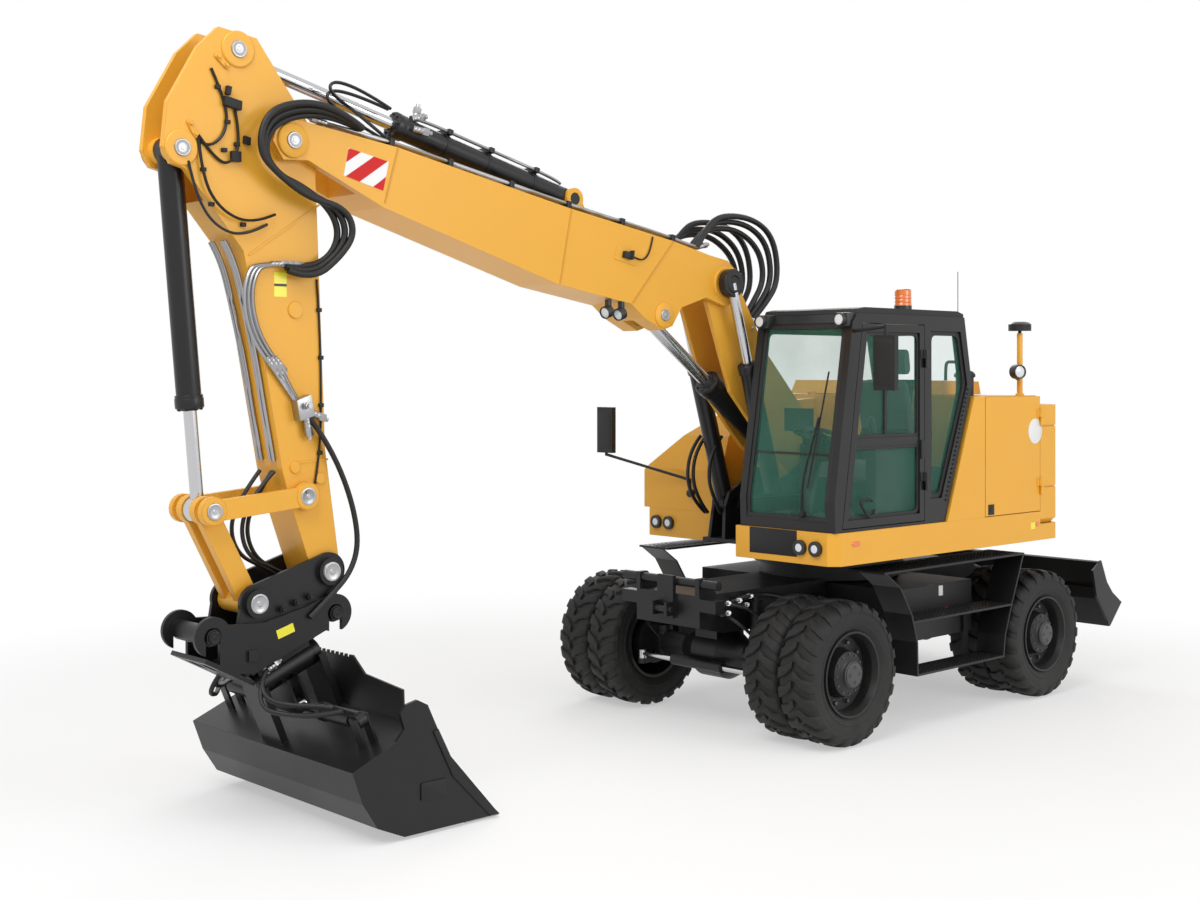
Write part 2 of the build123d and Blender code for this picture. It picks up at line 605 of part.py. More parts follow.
with BuildPart() as blade:
    board = [(-890, 1020), (-930, 850), (-970, 700), (-1060, 470), (-1030, 455), (-940, 690), (-900, 840), (-870, 1010)]
    cheek = [(-770, 950), (-905, 1025), (-1000, 835), (-1090, 740), (-1245, 640), (-1050, 455), (-830, 730)]
    plate([(REAR_AXLE_X + x, z) for x, z in board], -BLADE_HALF, BLADE_HALF)
    for side in (-1, 1):
        low, high = sorted((side * BLADE_HALF, side * (BLADE_HALF - 20)))
        plate([(REAR_AXLE_X + x, z) for x, z in cheek], low, high)
        low, high = sorted((side * (BLADE_ARM_Y - 28), side * (BLADE_ARM_Y + 28)))
        plate([(BLADE_PIVOT[0] + 20, BLADE_PIVOT[1] - 60), (BLADE_PIVOT[0] + 20, BLADE_PIVOT[1] + 60),
               (REAR_AXLE_X - 840, 735), (REAR_AXLE_X - 915, 745), (REAR_AXLE_X - 980, 600), (REAR_AXLE_X - 700, 540)],
              low, high)
        cross_bar(BLADE_PIVOT, 70, low, high)
        cross_bar(BLADE_PIVOT, PIN_RADIUS, side * BLADE_ARM_Y - BLADE_EAR_OUT, side * BLADE_ARM_Y + BLADE_EAR_OUT)
        for ear in (-1, 1):
            y_low, y_high = sorted((side * BLADE_ARM_Y + ear * 34, side * BLADE_ARM_Y + ear * 54))
            plate([(BLADE_CYL_EYE[0] + 45, BLADE_CYL_EYE[1] - 45), (BLADE_CYL_EYE[0] + 45, BLADE_CYL_EYE[1] + 45),
                   (REAR_AXLE_X - 905, 860), (REAR_AXLE_X - 945, 700)], y_low, y_high)
    block(REAR_AXLE_X - 940, REAR_AXLE_X - 872, -BLADE_HALF + 20, BLADE_HALF - 20, 700, 790)
save(blade, "blade")

with BuildPart() as blade_barrels:
    for side in (-1, 1):
        add(barrel(BLADE_CYL_BASE, BLADE_CYL_EYE, 44, 24, BLADE_BARREL, side * BLADE_ARM_Y, 90, BLADE_EAR_OUT,
                   BLADE_CYL_PIN).part)
save(blade_barrels, "blade_cylinder_barrels")
with BuildPart() as blade_rods:
    for side in (-1, 1):
        add(rod(BLADE_CYL_BASE, BLADE_CYL_EYE, 24, BLADE_BARREL, BLADE_INSIDE, side * BLADE_ARM_Y, 56, BLADE_CYL_PIN).part)
save(blade_rods, "blade_cylinder_rods")


# Revolving deck: floor plate, bearing flange and the girders that carry the boom's foot

with BuildPart() as deck:
    with BuildSketch(Plane.XY.offset(RING_TOP + SEAT_GAP)) as flange:
        with Locations((SWING_X, 0)):
            Circle(RING_RADIUS - 30)
            Circle(RING_RADIUS - 130, mode=Mode.SUBTRACT)
    extrude(flange.sketch, amount=DECK_LOW + 30 - RING_TOP - SEAT_GAP)
    block(SEAM_X, CAB_FRONT_X - SKIRT_WALL - 75, CAB_INNER_Y, SIDE_Y - SKIRT_WALL, DECK_LOW + 30, DECK_LOW + 60)
    block(SEAM_X, SWING_X + 1080, BOOM_WELL_Y, CAB_INNER_Y, DECK_LOW + 30, DECK_LOW + 60)
    block(SEAM_X, RIGHT_FRONT_X - SKIRT_WALL - 75, -SIDE_Y + SKIRT_WALL, BOOM_WELL_Y, DECK_LOW + 30, DECK_LOW + 60)
    girder = [
        (SWING_X - 300, DECK_LOW + 60),
        (SWING_X - 300, DECK_LOW + 260),
        (SWING_X + 200, 1780),
        (BOOM_FOOT[0] - 110, BOOM_FOOT[1] + 70),
        (BOOM_FOOT[0], BOOM_FOOT[1] + 130),
        (BOOM_FOOT[0] + 110, BOOM_FOOT[1] + 60),
        (LIFT_BASE[0] + 60, LIFT_BASE[1] + 90),
        (LIFT_BASE[0] + 110, LIFT_BASE[1] - 20),
        (SWING_X + 1070, DECK_LOW + 60),
    ]
    ear = [
        (LIFT_BASE[0] - 120, DECK_LOW + 60),
        (LIFT_BASE[0] - 70, LIFT_BASE[1]),
        (LIFT_BASE[0] + 70, LIFT_BASE[1]),
        (LIFT_BASE[0] + 120, DECK_LOW + 60),
    ]
    for side in (-1, 1):
        low, high = sorted((side * (LOWER_HALF + SIDE_CLEAR), side * (LOWER_HALF + SIDE_CLEAR + GIRDER)))
        plate(girder, low, high)
        cross_bar(BOOM_FOOT, PIN_RADIUS + PIN_CLEAR, low, high, mode=Mode.SUBTRACT)
        cross_bar(LIFT_BASE, PIN_RADIUS + PIN_CLEAR, low, high, mode=Mode.SUBTRACT)
        low, high = sorted((side * (LIFT_Y + 46), side * (LIFT_Y + 74)))
        plate(ear, low, high)
        cross_bar(LIFT_BASE, 72, low, high)
        cross_bar(LIFT_BASE, PIN_RADIUS + PIN_CLEAR, low, high, mode=Mode.SUBTRACT)
save(deck, "deck")


def skirt_outline(inset):
    """The deck's outline seen from above, moved in by a wall's thickness."""
    tail_y = SIDE_Y - inset
    radius = TAIL_RADIUS - inset
    tail_x = SWING_X - math.sqrt(radius**2 - tail_y**2)
    front = CAB_FRONT_X - inset
    right = RIGHT_FRONT_X - inset
    with BuildLine() as line:
        Polyline(
            (tail_x, tail_y),
            (front - 70, tail_y),
            (front, tail_y - 70),
            (front, CAB_INNER_Y - 30 + inset),
            (SWING_X + 1110, CAB_INNER_Y - 30 + inset),
            (SWING_X + 1110, BOOM_WELL_Y - inset),
            (right, BOOM_WELL_Y - inset),
            (right, -tail_y + 60),
            (right - 60, -tail_y),
            (tail_x, -tail_y),
        )
        ThreePointArc((tail_x, -tail_y), (SWING_X - radius, 0), (tail_x, tail_y))
    return line


with BuildPart() as skirt:
    for inset, mode in ((0, Mode.ADD), (SKIRT_WALL, Mode.SUBTRACT)):
        with BuildSketch(Plane.XY.offset(DECK_LOW)) as area:
            add(skirt_outline(inset).line)
            make_face()
        extrude(area.sketch, amount=DECK_TOP - DECK_LOW, mode=mode)
    # Behind the seam the band is lower, under the counterweight
    block(SWING_X - 2000, SEAM_X, -SIDE_Y, SIDE_Y, TAIL_LOW, DECK_TOP, mode=Mode.SUBTRACT)
save(skirt, "skirt")

with BuildPart() as counterweight:
    # The casting's top and bottom edges lean in all round, and a groove parts its lower third
    for inset, z_low, z_high, lean, mode in (
        (TAIL_EDGE, TAIL_LOW, TAIL_LOW + TAIL_EDGE, -TAIL_LEAN, Mode.ADD),
        (0, TAIL_LOW + TAIL_EDGE, TAIL_TOP - TAIL_EDGE, 0, Mode.ADD),
        (0, TAIL_TOP - TAIL_EDGE, TAIL_TOP, TAIL_LEAN, Mode.ADD),
        (TAIL_WALL, TAIL_LOW + TAIL_WALL, TAIL_TOP - TAIL_EDGE - TAIL_LID, 0, Mode.SUBTRACT),
    ):
        with BuildSketch(Plane.XY.offset(z_low)) as area:
            add(skirt_outline(inset).line)
            make_face()
        extrude(area.sketch, amount=z_high - z_low, taper=lean, mode=mode)
    for z in TAIL_GROOVES:
        with BuildSketch(Plane.XY.offset(z)) as ring:
            add(skirt_outline(-20).line)
            make_face()
            with BuildSketch(mode=Mode.PRIVATE) as core:
                add(skirt_outline(TAIL_GROOVE).line)
                make_face()
            add(core.sketch, mode=Mode.SUBTRACT)
        extrude(ring.sketch, amount=TAIL_GROOVE, mode=Mode.SUBTRACT)
    block(SEAM_X, SWING_X + 2000, -SIDE_Y - 40, SIDE_Y + 40, TAIL_LOW - 1, TAIL_TOP + 1, mode=Mode.SUBTRACT)
    for side in (-1, 1):
        for z in SERVICE_HINGES:
            hinge(SEAM_X + DOOR_GAP / 2, side * SIDE_Y, z, -1, side)
save(counterweight, "counterweight")


# Body behind and beside the boom

with BuildPart() as body_panels:
    # Rear bulkhead and top deck, open under the hood
    block(SEAM_X, PANEL_FRONT_X, -SIDE_Y + 40, SIDE_Y - 40, BODY_TOP - 30, BODY_TOP)
    block(SEAM_X + 130, PANEL_FRONT_X - 130, -HOOD_HALF + 20, HOOD_HALF - 20, BODY_TOP - 30, BODY_TOP, mode=Mode.SUBTRACT)
    # Left wedge behind the cab
    wedge = [
        (PANEL_FRONT_X, DECK_TOP),
        (PANEL_FRONT_X, BODY_TOP),
        (CAB_REAR_WAIST_X - 12, BODY_TOP),
        (CAB_REAR_LOW_X - 12, DECK_TOP),
    ]
    plate(wedge, SIDE_Y - 34, SIDE_Y)
    # Inner wall between the cab and the engine bay, and the right side from the hood to the seam
    block(PANEL_FRONT_X, PANEL_FRONT_X + 30, CAB_INNER_Y, SIDE_Y - 34, DECK_TOP, BODY_TOP)
    block(PANEL_FRONT_X, PANEL_FRONT_X + 30, -SIDE_Y + 34, BOOM_WELL_Y, DECK_TOP, BODY_TOP)
    block(PANEL_FRONT_X, PANEL_FRONT_X + 30, BOOM_WELL_Y, CAB_INNER_Y, DECK_LOW + 60, BODY_TOP)
    # Lugs with the pins that the engine hood turns on
    for side in (-1, 1):
        low, high = sorted((side * 480, side * 510))
        block(HOOD_PIN[0] - HOOD_KNUCKLE, HOOD_PIN[0] + HOOD_KNUCKLE, low, high, BODY_TOP - 4, HOOD_PIN[1])
        cross_bar(HOOD_PIN, HOOD_KNUCKLE, low, high)
        cross_bar(HOOD_PIN, HINGE_PIN, *sorted((side * 480, side * 546)))
save(body_panels, "body_panels")


def service_door(side):
    """A flank door over the engine bay, rolled in at its top edge."""
    low, high = sorted((side * SIDE_Y, side * (SIDE_Y - 34)))
    with BuildPart() as made:
        block(SEAM_X + DOOR_GAP, PANEL_FRONT_X - DOOR_GAP, low, high, DECK_TOP + DOOR_GAP, BODY_TOP - DOOR_GAP)
        for z in SERVICE_HINGES:
            hinge(SEAM_X + DOOR_GAP / 2, side * SIDE_Y, z + HINGE_TALL + 1, 1, side)
        # Cooling slots high in the panel and a recessed lock
        for slot in range(7):
            x = SEAM_X + 150 + slot * 62
            block(x, x + 34, low - 1, high + 1, 2090, 2300, mode=Mode.SUBTRACT)
    return made


save(service_door(1), "service_door_left")
save(service_door(-1), "service_door_right")

with BuildPart() as engine_hood:
    hood = [
        (SEAM_X + 100, BODY_TOP + DOOR_GAP),
        (SEAM_X + 130, BODY_TOP + 110),
        (PANEL_FRONT_X - 160, BODY_TOP + 120),
        (PANEL_FRONT_X - 90, BODY_TOP + DOOR_GAP),
    ]
    plate(hood, -HOOD_HALF, HOOD_HALF)
    inner = [
        (SEAM_X + 124, BODY_TOP),
        (SEAM_X + 150, BODY_TOP + 86),
        (PANEL_FRONT_X - 176, BODY_TOP + 96),
        (PANEL_FRONT_X - 116, BODY_TOP),
    ]
    plate(inner, -HOOD_HALF + 24, HOOD_HALF - 24, mode=Mode.SUBTRACT)
    for side in (-1, 1):
        low, high = sorted((side * 512, side * 545))
        block(HOOD_PIN[0] - 42, HOOD_PIN[0], low, high, HOOD_PIN[1] - 8, HOOD_PIN[1] + 8)
        cross_bar(HOOD_PIN, HOOD_KNUCKLE, low, high)
        cross_bar(HOOD_PIN, HINGE_PIN + PIN_CLEAR, low, high, mode=Mode.SUBTRACT)
save(engine_hood, "engine_hood")

with BuildPart() as engine:
    block(SEAM_X + 60, PANEL_FRONT_X - 80, -700, 520, DECK_LOW + 60, 2180)
save(engine, "engine")

HOOD_SIDE = [
    (RIGHT_FRONT_X, DECK_TOP),
    (RIGHT_FRONT_X, 1830),
    (RIGHT_FRONT_X - 80, 2100),
    (RIGHT_FRONT_X - 330, 2350),
    (PANEL_FRONT_X + 30, 2400),
    (PANEL_FRONT_X + 30, DECK_TOP),
]


def fall_away(inset):
    """Cuts the outer shoulder of the right hood so that the driver sees past it."""
    with BuildSketch(Plane.YZ.offset(PANEL_FRONT_X)) as shoulder:
        with BuildLine():
            Polyline((-SIDE_Y - 10, 1800 - inset), (-SIDE_Y - 10, 2500), (BOOM_WELL_Y - 90, 2500),
                     (BOOM_WELL_Y - 90, 2400 - inset), (-SIDE_Y + 60, 1860 - inset), close=True)
        make_face()
    extrude(shoulder.sketch, amount=RIGHT_FRONT_X + 40 - PANEL_FRONT_X, mode=Mode.SUBTRACT)


with BuildPart() as hood_room:
    cut_across(shrink(HOOD_SIDE, HOOD_WALL), -SIDE_Y + HOOD_WALL, BOOM_WELL_Y - HOOD_WALL, mode=Mode.ADD)
    fall_away(1.4 * HOOD_WALL)

with BuildPart() as right_hood:
    plate(HOOD_SIDE, -SIDE_Y, BOOM_WELL_Y)
    fall_away(0)
    add(hood_room.part, mode=Mode.SUBTRACT)
save(right_hood, "right_hood")


# Cab: a hollow frame of pillars and rails with its windows cut

CAB_SIDE = [
    (CAB_FRONT_X - 20, DECK_TOP),
    (CAB_FRONT_X - 12, 1720),
    (CAB_FRONT_X - 215, 2965),
    (CAB_FRONT_X - 270, 3030),
    (CAB_REAR_TOP_X, 3030),
    (CAB_REAR_WAIST_X, CAB_WAIST_Z),
    (CAB_REAR_LOW_X, DECK_TOP),
]


DOOR_OUTLINE = [
    (DOOR_FRONT_LOW_X, DECK_TOP + 20),
    (DOOR_FRONT_TOP_X, 2965),
    (DOOR_REAR_X, 2965),
    (DOOR_REAR_X, DECK_TOP + 20),
]
REAR_WINDOW = [
    (DOOR_REAR_X - 75, 2920),
    (CAB_REAR_TOP_X + 50, 2920),
    (CAB_REAR_WAIST_X + 60, CAB_WAIST_Z),
    (CAB_REAR_LOW_X + 40, 1680),
    (DOOR_REAR_X - 75, 1680),
]
RIGHT_WINDOW = [
    (CAB_FRONT_X - 95, 1690),
    (CAB_FRONT_X - 285, 2930),
    (CAB_REAR_TOP_X + 60, 2930),
    (CAB_REAR_WAIST_X + 70, CAB_WAIST_Z),
    (CAB_REAR_LOW_X + 60, 1690),
]

with BuildPart() as cab_frame:
    plate(CAB_SIDE, CAB_INNER_Y, CAB_OUTER_Y)
    inside = shrink(CAB_SIDE, CAB_WALL)
    cut_across(inside, CAB_INNER_Y + CAB_WALL, CAB_OUTER_Y - CAB_WALL)
    plate(DOOR_OUTLINE, CAB_OUTER_Y - CAB_WALL - 1, CAB_OUTER_Y + 1, mode=Mode.SUBTRACT)
    plate(REAR_WINDOW, CAB_OUTER_Y - CAB_WALL - 1, CAB_OUTER_Y + 1, mode=Mode.SUBTRACT)
    plate(RIGHT_WINDOW, CAB_INNER_Y - 1, CAB_INNER_Y + CAB_WALL + 1, mode=Mode.SUBTRACT)
    # Windscreen, full height, and the rear window
    block(CAB_FRONT_X - 320, CAB_FRONT_X + 40, CAB_INNER_Y + 60, CAB_OUTER_Y - 60, DECK_TOP + 70, 2960,
          mode=Mode.SUBTRACT)
    block(CAB_REAR_WAIST_X - 40, CAB_REAR_LOW_X + 60, CAB_INNER_Y + 90, CAB_OUTER_Y - 90, 1900, 2900,
          mode=Mode.SUBTRACT)
    for z in CAB_HINGES:
        hinge(DOOR_REAR_X + DOOR_GAP / 2, CAB_OUTER_Y, z, -1, 1)
save(cab_frame, "cab_frame")

with BuildPart() as cab_roof:
    roof = [
        (CAB_FRONT_X - 268, 3030),
        (CAB_FRONT_X - 290, 3062),
        (CAB_FRONT_X - 360, CAB_ROOF_Z),
        (CAB_REAR_TOP_X + 80, CAB_ROOF_Z),
        (CAB_REAR_TOP_X, 3055),
        (CAB_REAR_TOP_X, 3030),
    ]
    plate(roof, CAB_INNER_Y + 10, CAB_OUTER_Y - 10)
save(cab_roof, "cab_roof")

with BuildPart() as cab_glass:
    screen = [
        (CAB_FRONT_X - 36, DECK_TOP + 75),
        (CAB_FRONT_X - 30, 1722),
        (CAB_FRONT_X - 232, 2955),
        (CAB_FRONT_X - 240, 2955),
        (CAB_FRONT_X - 38, 1722),
        (CAB_FRONT_X - 44, DECK_TOP + 75),
    ]
    plate(screen, CAB_INNER_Y + CAB_WALL, CAB_OUTER_Y - CAB_WALL)
    plate(RIGHT_WINDOW, CAB_INNER_Y + 30, CAB_INNER_Y + 36)
    plate(REAR_WINDOW, CAB_OUTER_Y - 36, CAB_OUTER_Y - 30)
save(cab_glass, "cab_glass")

with BuildPart() as cab_door:
    frame = shrink(DOOR_OUTLINE, DOOR_GAP)
    cut_across(frame, CAB_OUTER_Y - 50, CAB_OUTER_Y, mode=Mode.ADD)
    opening = shrink(DOOR_OUTLINE, 62)
    cut_across(opening, CAB_OUTER_Y - 51, CAB_OUTER_Y + 1)
    block(DOOR_REAR_X + 20, DOOR_FRONT_LOW_X - 140, CAB_OUTER_Y - 45, CAB_OUTER_Y - 8, 2090, 2150)
    for z in CAB_HINGES:
        hinge(DOOR_REAR_X + DOOR_GAP / 2, CAB_OUTER_Y, z + HINGE_TALL + 1, 1, 1)
save(cab_door, "cab_door")

with BuildPart() as door_glass:
    pane = shrink(DOOR_OUTLINE, 62)
    cut_across(pane, CAB_OUTER_Y - 30, CAB_OUTER_Y - 24, mode=Mode.ADD)
    block(DOOR_REAR_X, DOOR_FRONT_LOW_X, CAB_OUTER_Y - 46, CAB_OUTER_Y - 7, 2090, 2150, mode=Mode.SUBTRACT)
save(door_glass, "door_glass")

with BuildPart() as seat:
    middle = (CAB_INNER_Y + CAB_OUTER_Y) / 2
    block(SWING_X + 420, SWING_X + 760, middle - 150, middle + 150, DECK_TOP + CAB_WALL, 1800)
    block(SWING_X + 340, SWING_X + 860, middle - 250, middle + 250, 1800, 1960)
    plate([(SWING_X + 340, 1960), (SWING_X + 470, 1960), (SWING_X + 330, 2560), (SWING_X + 230, 2560)],
          middle - 230, middle + 230)
    plate([(SWING_X + 225, 2590), (SWING_X + 325, 2590), (SWING_X + 300, 2790), (SWING_X + 225, 2790)],
          middle - 130, middle + 130)
    for side in (-1, 1):
        bar((SWING_X + 275, middle + side * 70, 2540), (SWING_X + 268, middle + side * 70, 2620), 9)
save(seat, "seat")

with BuildPart() as cab_controls:
    for side in (-1, 1):
        low, high = sorted((middle + side * 262, middle + side * 352))
        block(SWING_X + 380, SWING_X + 900, low, high, DECK_TOP + CAB_WALL, 2080)
        bar((SWING_X + 850, middle + side * 307, 2080), (SWING_X + 870, middle + side * 300, 2240), 24)
    # Steering column with its wheel, and the pedal plate
    block(SWING_X + 1190, SWING_X + 1290, middle - 60, middle + 60, DECK_TOP + CAB_WALL, DECK_TOP + CAB_WALL + 30)
    bar((SWING_X + 1240, middle, DECK_TOP + CAB_WALL + 20), (SWING_X + 1110, middle, 2150), 38)
    with BuildSketch(Plane(origin=(SWING_X + 1110, middle, 2150), z_dir=(-0.28, 0, 0.96))) as rim:
        Circle(190)
        Circle(166, mode=Mode.SUBTRACT)
        Rectangle(340, 34)
    extrude(rim.sketch, amount=28)
    block(SWING_X + 1080, SWING_X + 1330, middle - 300, middle - 90, DECK_TOP + CAB_WALL, DECK_TOP + CAB_WALL + 40)
    block(SWING_X + 1080, SWING_X + 1330, middle + 90, middle + 300, DECK_TOP + CAB_WALL, DECK_TOP + CAB_WALL + 40)
    # Monitor on a post from the right console
    block(SWING_X + 1040, SWING_X + 1075, CAB_INNER_Y + 80, CAB_INNER_Y + 330, 2180, 2350)
    bar((SWING_X + 870, middle - 300, 2060), (SWING_X + 1050, CAB_INNER_Y + 190, 2250), 16)
save(cab_controls, "cab_controls")

with BuildPart() as mirrors:
    # Left mirror on a tube arm from the top of the windscreen pillar
    bar((MIRROR_LEFT[0], CAB_OUTER_Y - 40, 2900), (MIRROR_LEFT[0], MIRROR_Y, 2930), MIRROR_ARM)
    bar((MIRROR_LEFT[0], MIRROR_Y, 2942), (MIRROR_LEFT[0], MIRROR_Y, MIRROR_LEFT[1]), MIRROR_ARM)
    block(MIRROR_LEFT[0] - 22, MIRROR_LEFT[0] + 22, MIRROR_Y - MIRROR_HALF, MIRROR_Y + MIRROR_HALF,
          MIRROR_LEFT[1] - 190, MIRROR_LEFT[1] + 190)
    plate(CAB_SIDE, CAB_INNER_Y, CAB_OUTER_Y, mode=Mode.SUBTRACT)
    # Right mirror on a bent arm at the nose of the right hood
    bar((RIGHT_FRONT_X + SEAT_GAP, -700, 1640), (RIGHT_FRONT_X + 40, -700, 1640), 30)
    bar((RIGHT_FRONT_X + 30, -700, 1630), (RIGHT_FRONT_X + 30, -700, 1760), MIRROR_ARM)
    bar((RIGHT_FRONT_X + 30, -700, 1750), (MIRROR_RIGHT[0], -MIRROR_Y, 1930), MIRROR_ARM)
    bar((MIRROR_RIGHT[0], -MIRROR_Y, 1920), (MIRROR_RIGHT[0], -MIRROR_Y, MIRROR_RIGHT[1]), MIRROR_ARM)
    block(MIRROR_RIGHT[0] - 22, MIRROR_RIGHT[0] + 22, -MIRROR_Y - MIRROR_HALF, -MIRROR_Y + MIRROR_HALF,
          MIRROR_RIGHT[1] - 190, MIRROR_RIGHT[1] + 190)
save(mirrors, "mirrors")

with BuildPart() as lamps:
    for y in (CAB_OUTER_Y - 150, CAB_OUTER_Y - 290):
        bar((CAB_FRONT_X, y, DECK_LOW + 115), (CAB_FRONT_X + 26, y, DECK_LOW + 115), 52)
    for y in (-SIDE_Y + 150, -SIDE_Y + 290):
        bar((RIGHT_FRONT_X, y, DECK_LOW + 115), (RIGHT_FRONT_X + 26, y, DECK_LOW + 115), 52)
    for y in (CAB_INNER_Y + 70, CAB_OUTER_Y - 70):
        bar((CAB_FRONT_X - 262, y, 2985), (CAB_FRONT_X - 170, y, 2985), 44)
    plate(CAB_SIDE, CAB_INNER_Y, CAB_OUTER_Y, mode=Mode.SUBTRACT)
    # Rotating beacon on the roof
    with Locations((SWING_X + 330, CAB_OUTER_Y - 260, CAB_ROOF_Z + 20)):
        Cylinder(66, 40)
    with Locations((SWING_X + 330, CAB_OUTER_Y - 260, CAB_ROOF_Z + 100)):
        Cylinder(60, 120)
save(lamps, "lamps")

with BuildPart() as deck_fittings:
    # Mast with its receiver dome, air intake and exhaust on the top deck
    mast_y = SIDE_Y - 150
    bar((SEAM_X + 60, mast_y, BODY_TOP), (SEAM_X + 60, mast_y, 2960), 14)
    with Locations((SEAM_X + 60, mast_y, 2975)):
        Cylinder(90, 50)
    bar((PANEL_FRONT_X - 160, 960, BODY_TOP), (PANEL_FRONT_X - 160, 960, BODY_TOP + 150), 70)
save(deck_fittings, "deck_fittings")


# Lower boom: two plates joined by tubes, with the adjusting cylinder between them

with BuildPart() as lower_boom:
    plate_outline = [
        (BOOM_FOOT[0] - 90, BOOM_FOOT[1] - 100),
        (BOOM_FOOT[0] + 60, BOOM_FOOT[1] - 120),
        (ADJUST_BASE[0] + 120, ADJUST_BASE[1] - 40),
        (SWING_X + 1340, 2470),
        (SWING_X + 1600, 3130),
        (BOOM_JOINT[0] + 130, BOOM_JOINT[1] + 90),
        (BOOM_JOINT[0] - 20, BOOM_JOINT[1] + 165),
        (BOOM_JOINT[0] - 150, BOOM_JOINT[1] + 80),
        (SWING_X + 930, 2760),
        (BOOM_FOOT[0] - 60, BOOM_FOOT[1] + 330),
        (BOOM_FOOT[0] - 130, BOOM_FOOT[1] + 20),
    ]
    for side in (-1, 1):
        low, high = sorted((side * LOWER_HALF, side * (LOWER_HALF - LOWER_PLATE)))
        plate(plate_outline, low, high)
        cross_bar(BOOM_JOINT, PIN_RADIUS + PIN_CLEAR, low, high, mode=Mode.SUBTRACT)
    inner = LOWER_HALF - LOWER_PLATE
    cross_bar(BOOM_FOOT, 100, -LOWER_HALF, LOWER_HALF)
    cross_bar(BOOM_FOOT, PIN_RADIUS, -LOWER_HALF - 66, LOWER_HALF + 66)
    cross_bar((SWING_X + 820, 2560), 60, -inner, inner)
    for side in (-1, 1):
        low, high = sorted((side * ADJUST_EYE_HALF + side * 3, side * inner))
        cross_bar(ADJUST_BASE, 72, low, high)
        cross_bar(ADJUST_BASE, PIN_RADIUS + PIN_CLEAR, low, high, mode=Mode.SUBTRACT)
save(lower_boom, "lower_boom")

with BuildPart() as lift_barrels:
    for side in (-1, 1):
        add(barrel(LIFT_BASE, BOOM_JOINT, LIFT_BARREL_RADIUS, LIFT_ROD_RADIUS, LIFT_BARREL, side * LIFT_Y,
                   LIFT_EYE_WIDTH, LIFT_PIN_HALF, PIN_RADIUS).part)
save(lift_barrels, "lift_cylinder_barrels")
with BuildPart() as lift_rods:
    for side in (-1, 1):
        add(rod(LIFT_BASE, BOOM_JOINT, LIFT_ROD_RADIUS, LIFT_BARREL, LIFT_INSIDE, side * LIFT_Y, 60, PIN_RADIUS * 1.4).part)
save(lift_rods, "lift_cylinder_rods")

with BuildPart() as adjust_barrel:
    add(barrel(ADJUST_BASE, ADJUST_EYE, ADJUST_BARREL_RADIUS, ADJUST_ROD_RADIUS, ADJUST_BARREL, 0,
               2 * ADJUST_EYE_HALF, LOWER_HALF - LOWER_PLATE, PIN_RADIUS).part)
save(adjust_barrel, "adjust_cylinder_barrel")
with BuildPart() as adjust_rod:
    add(rod(ADJUST_BASE, ADJUST_EYE, ADJUST_ROD_RADIUS, ADJUST_BARREL, ADJUST_INSIDE, 0, 2 * ADJUST_EYE_HALF,
            PIN_RADIUS).part)
save(adjust_rod, "adjust_cylinder_rod")


# Upper boom: a long box with a lug below for the adjusting cylinder and a fork at each end

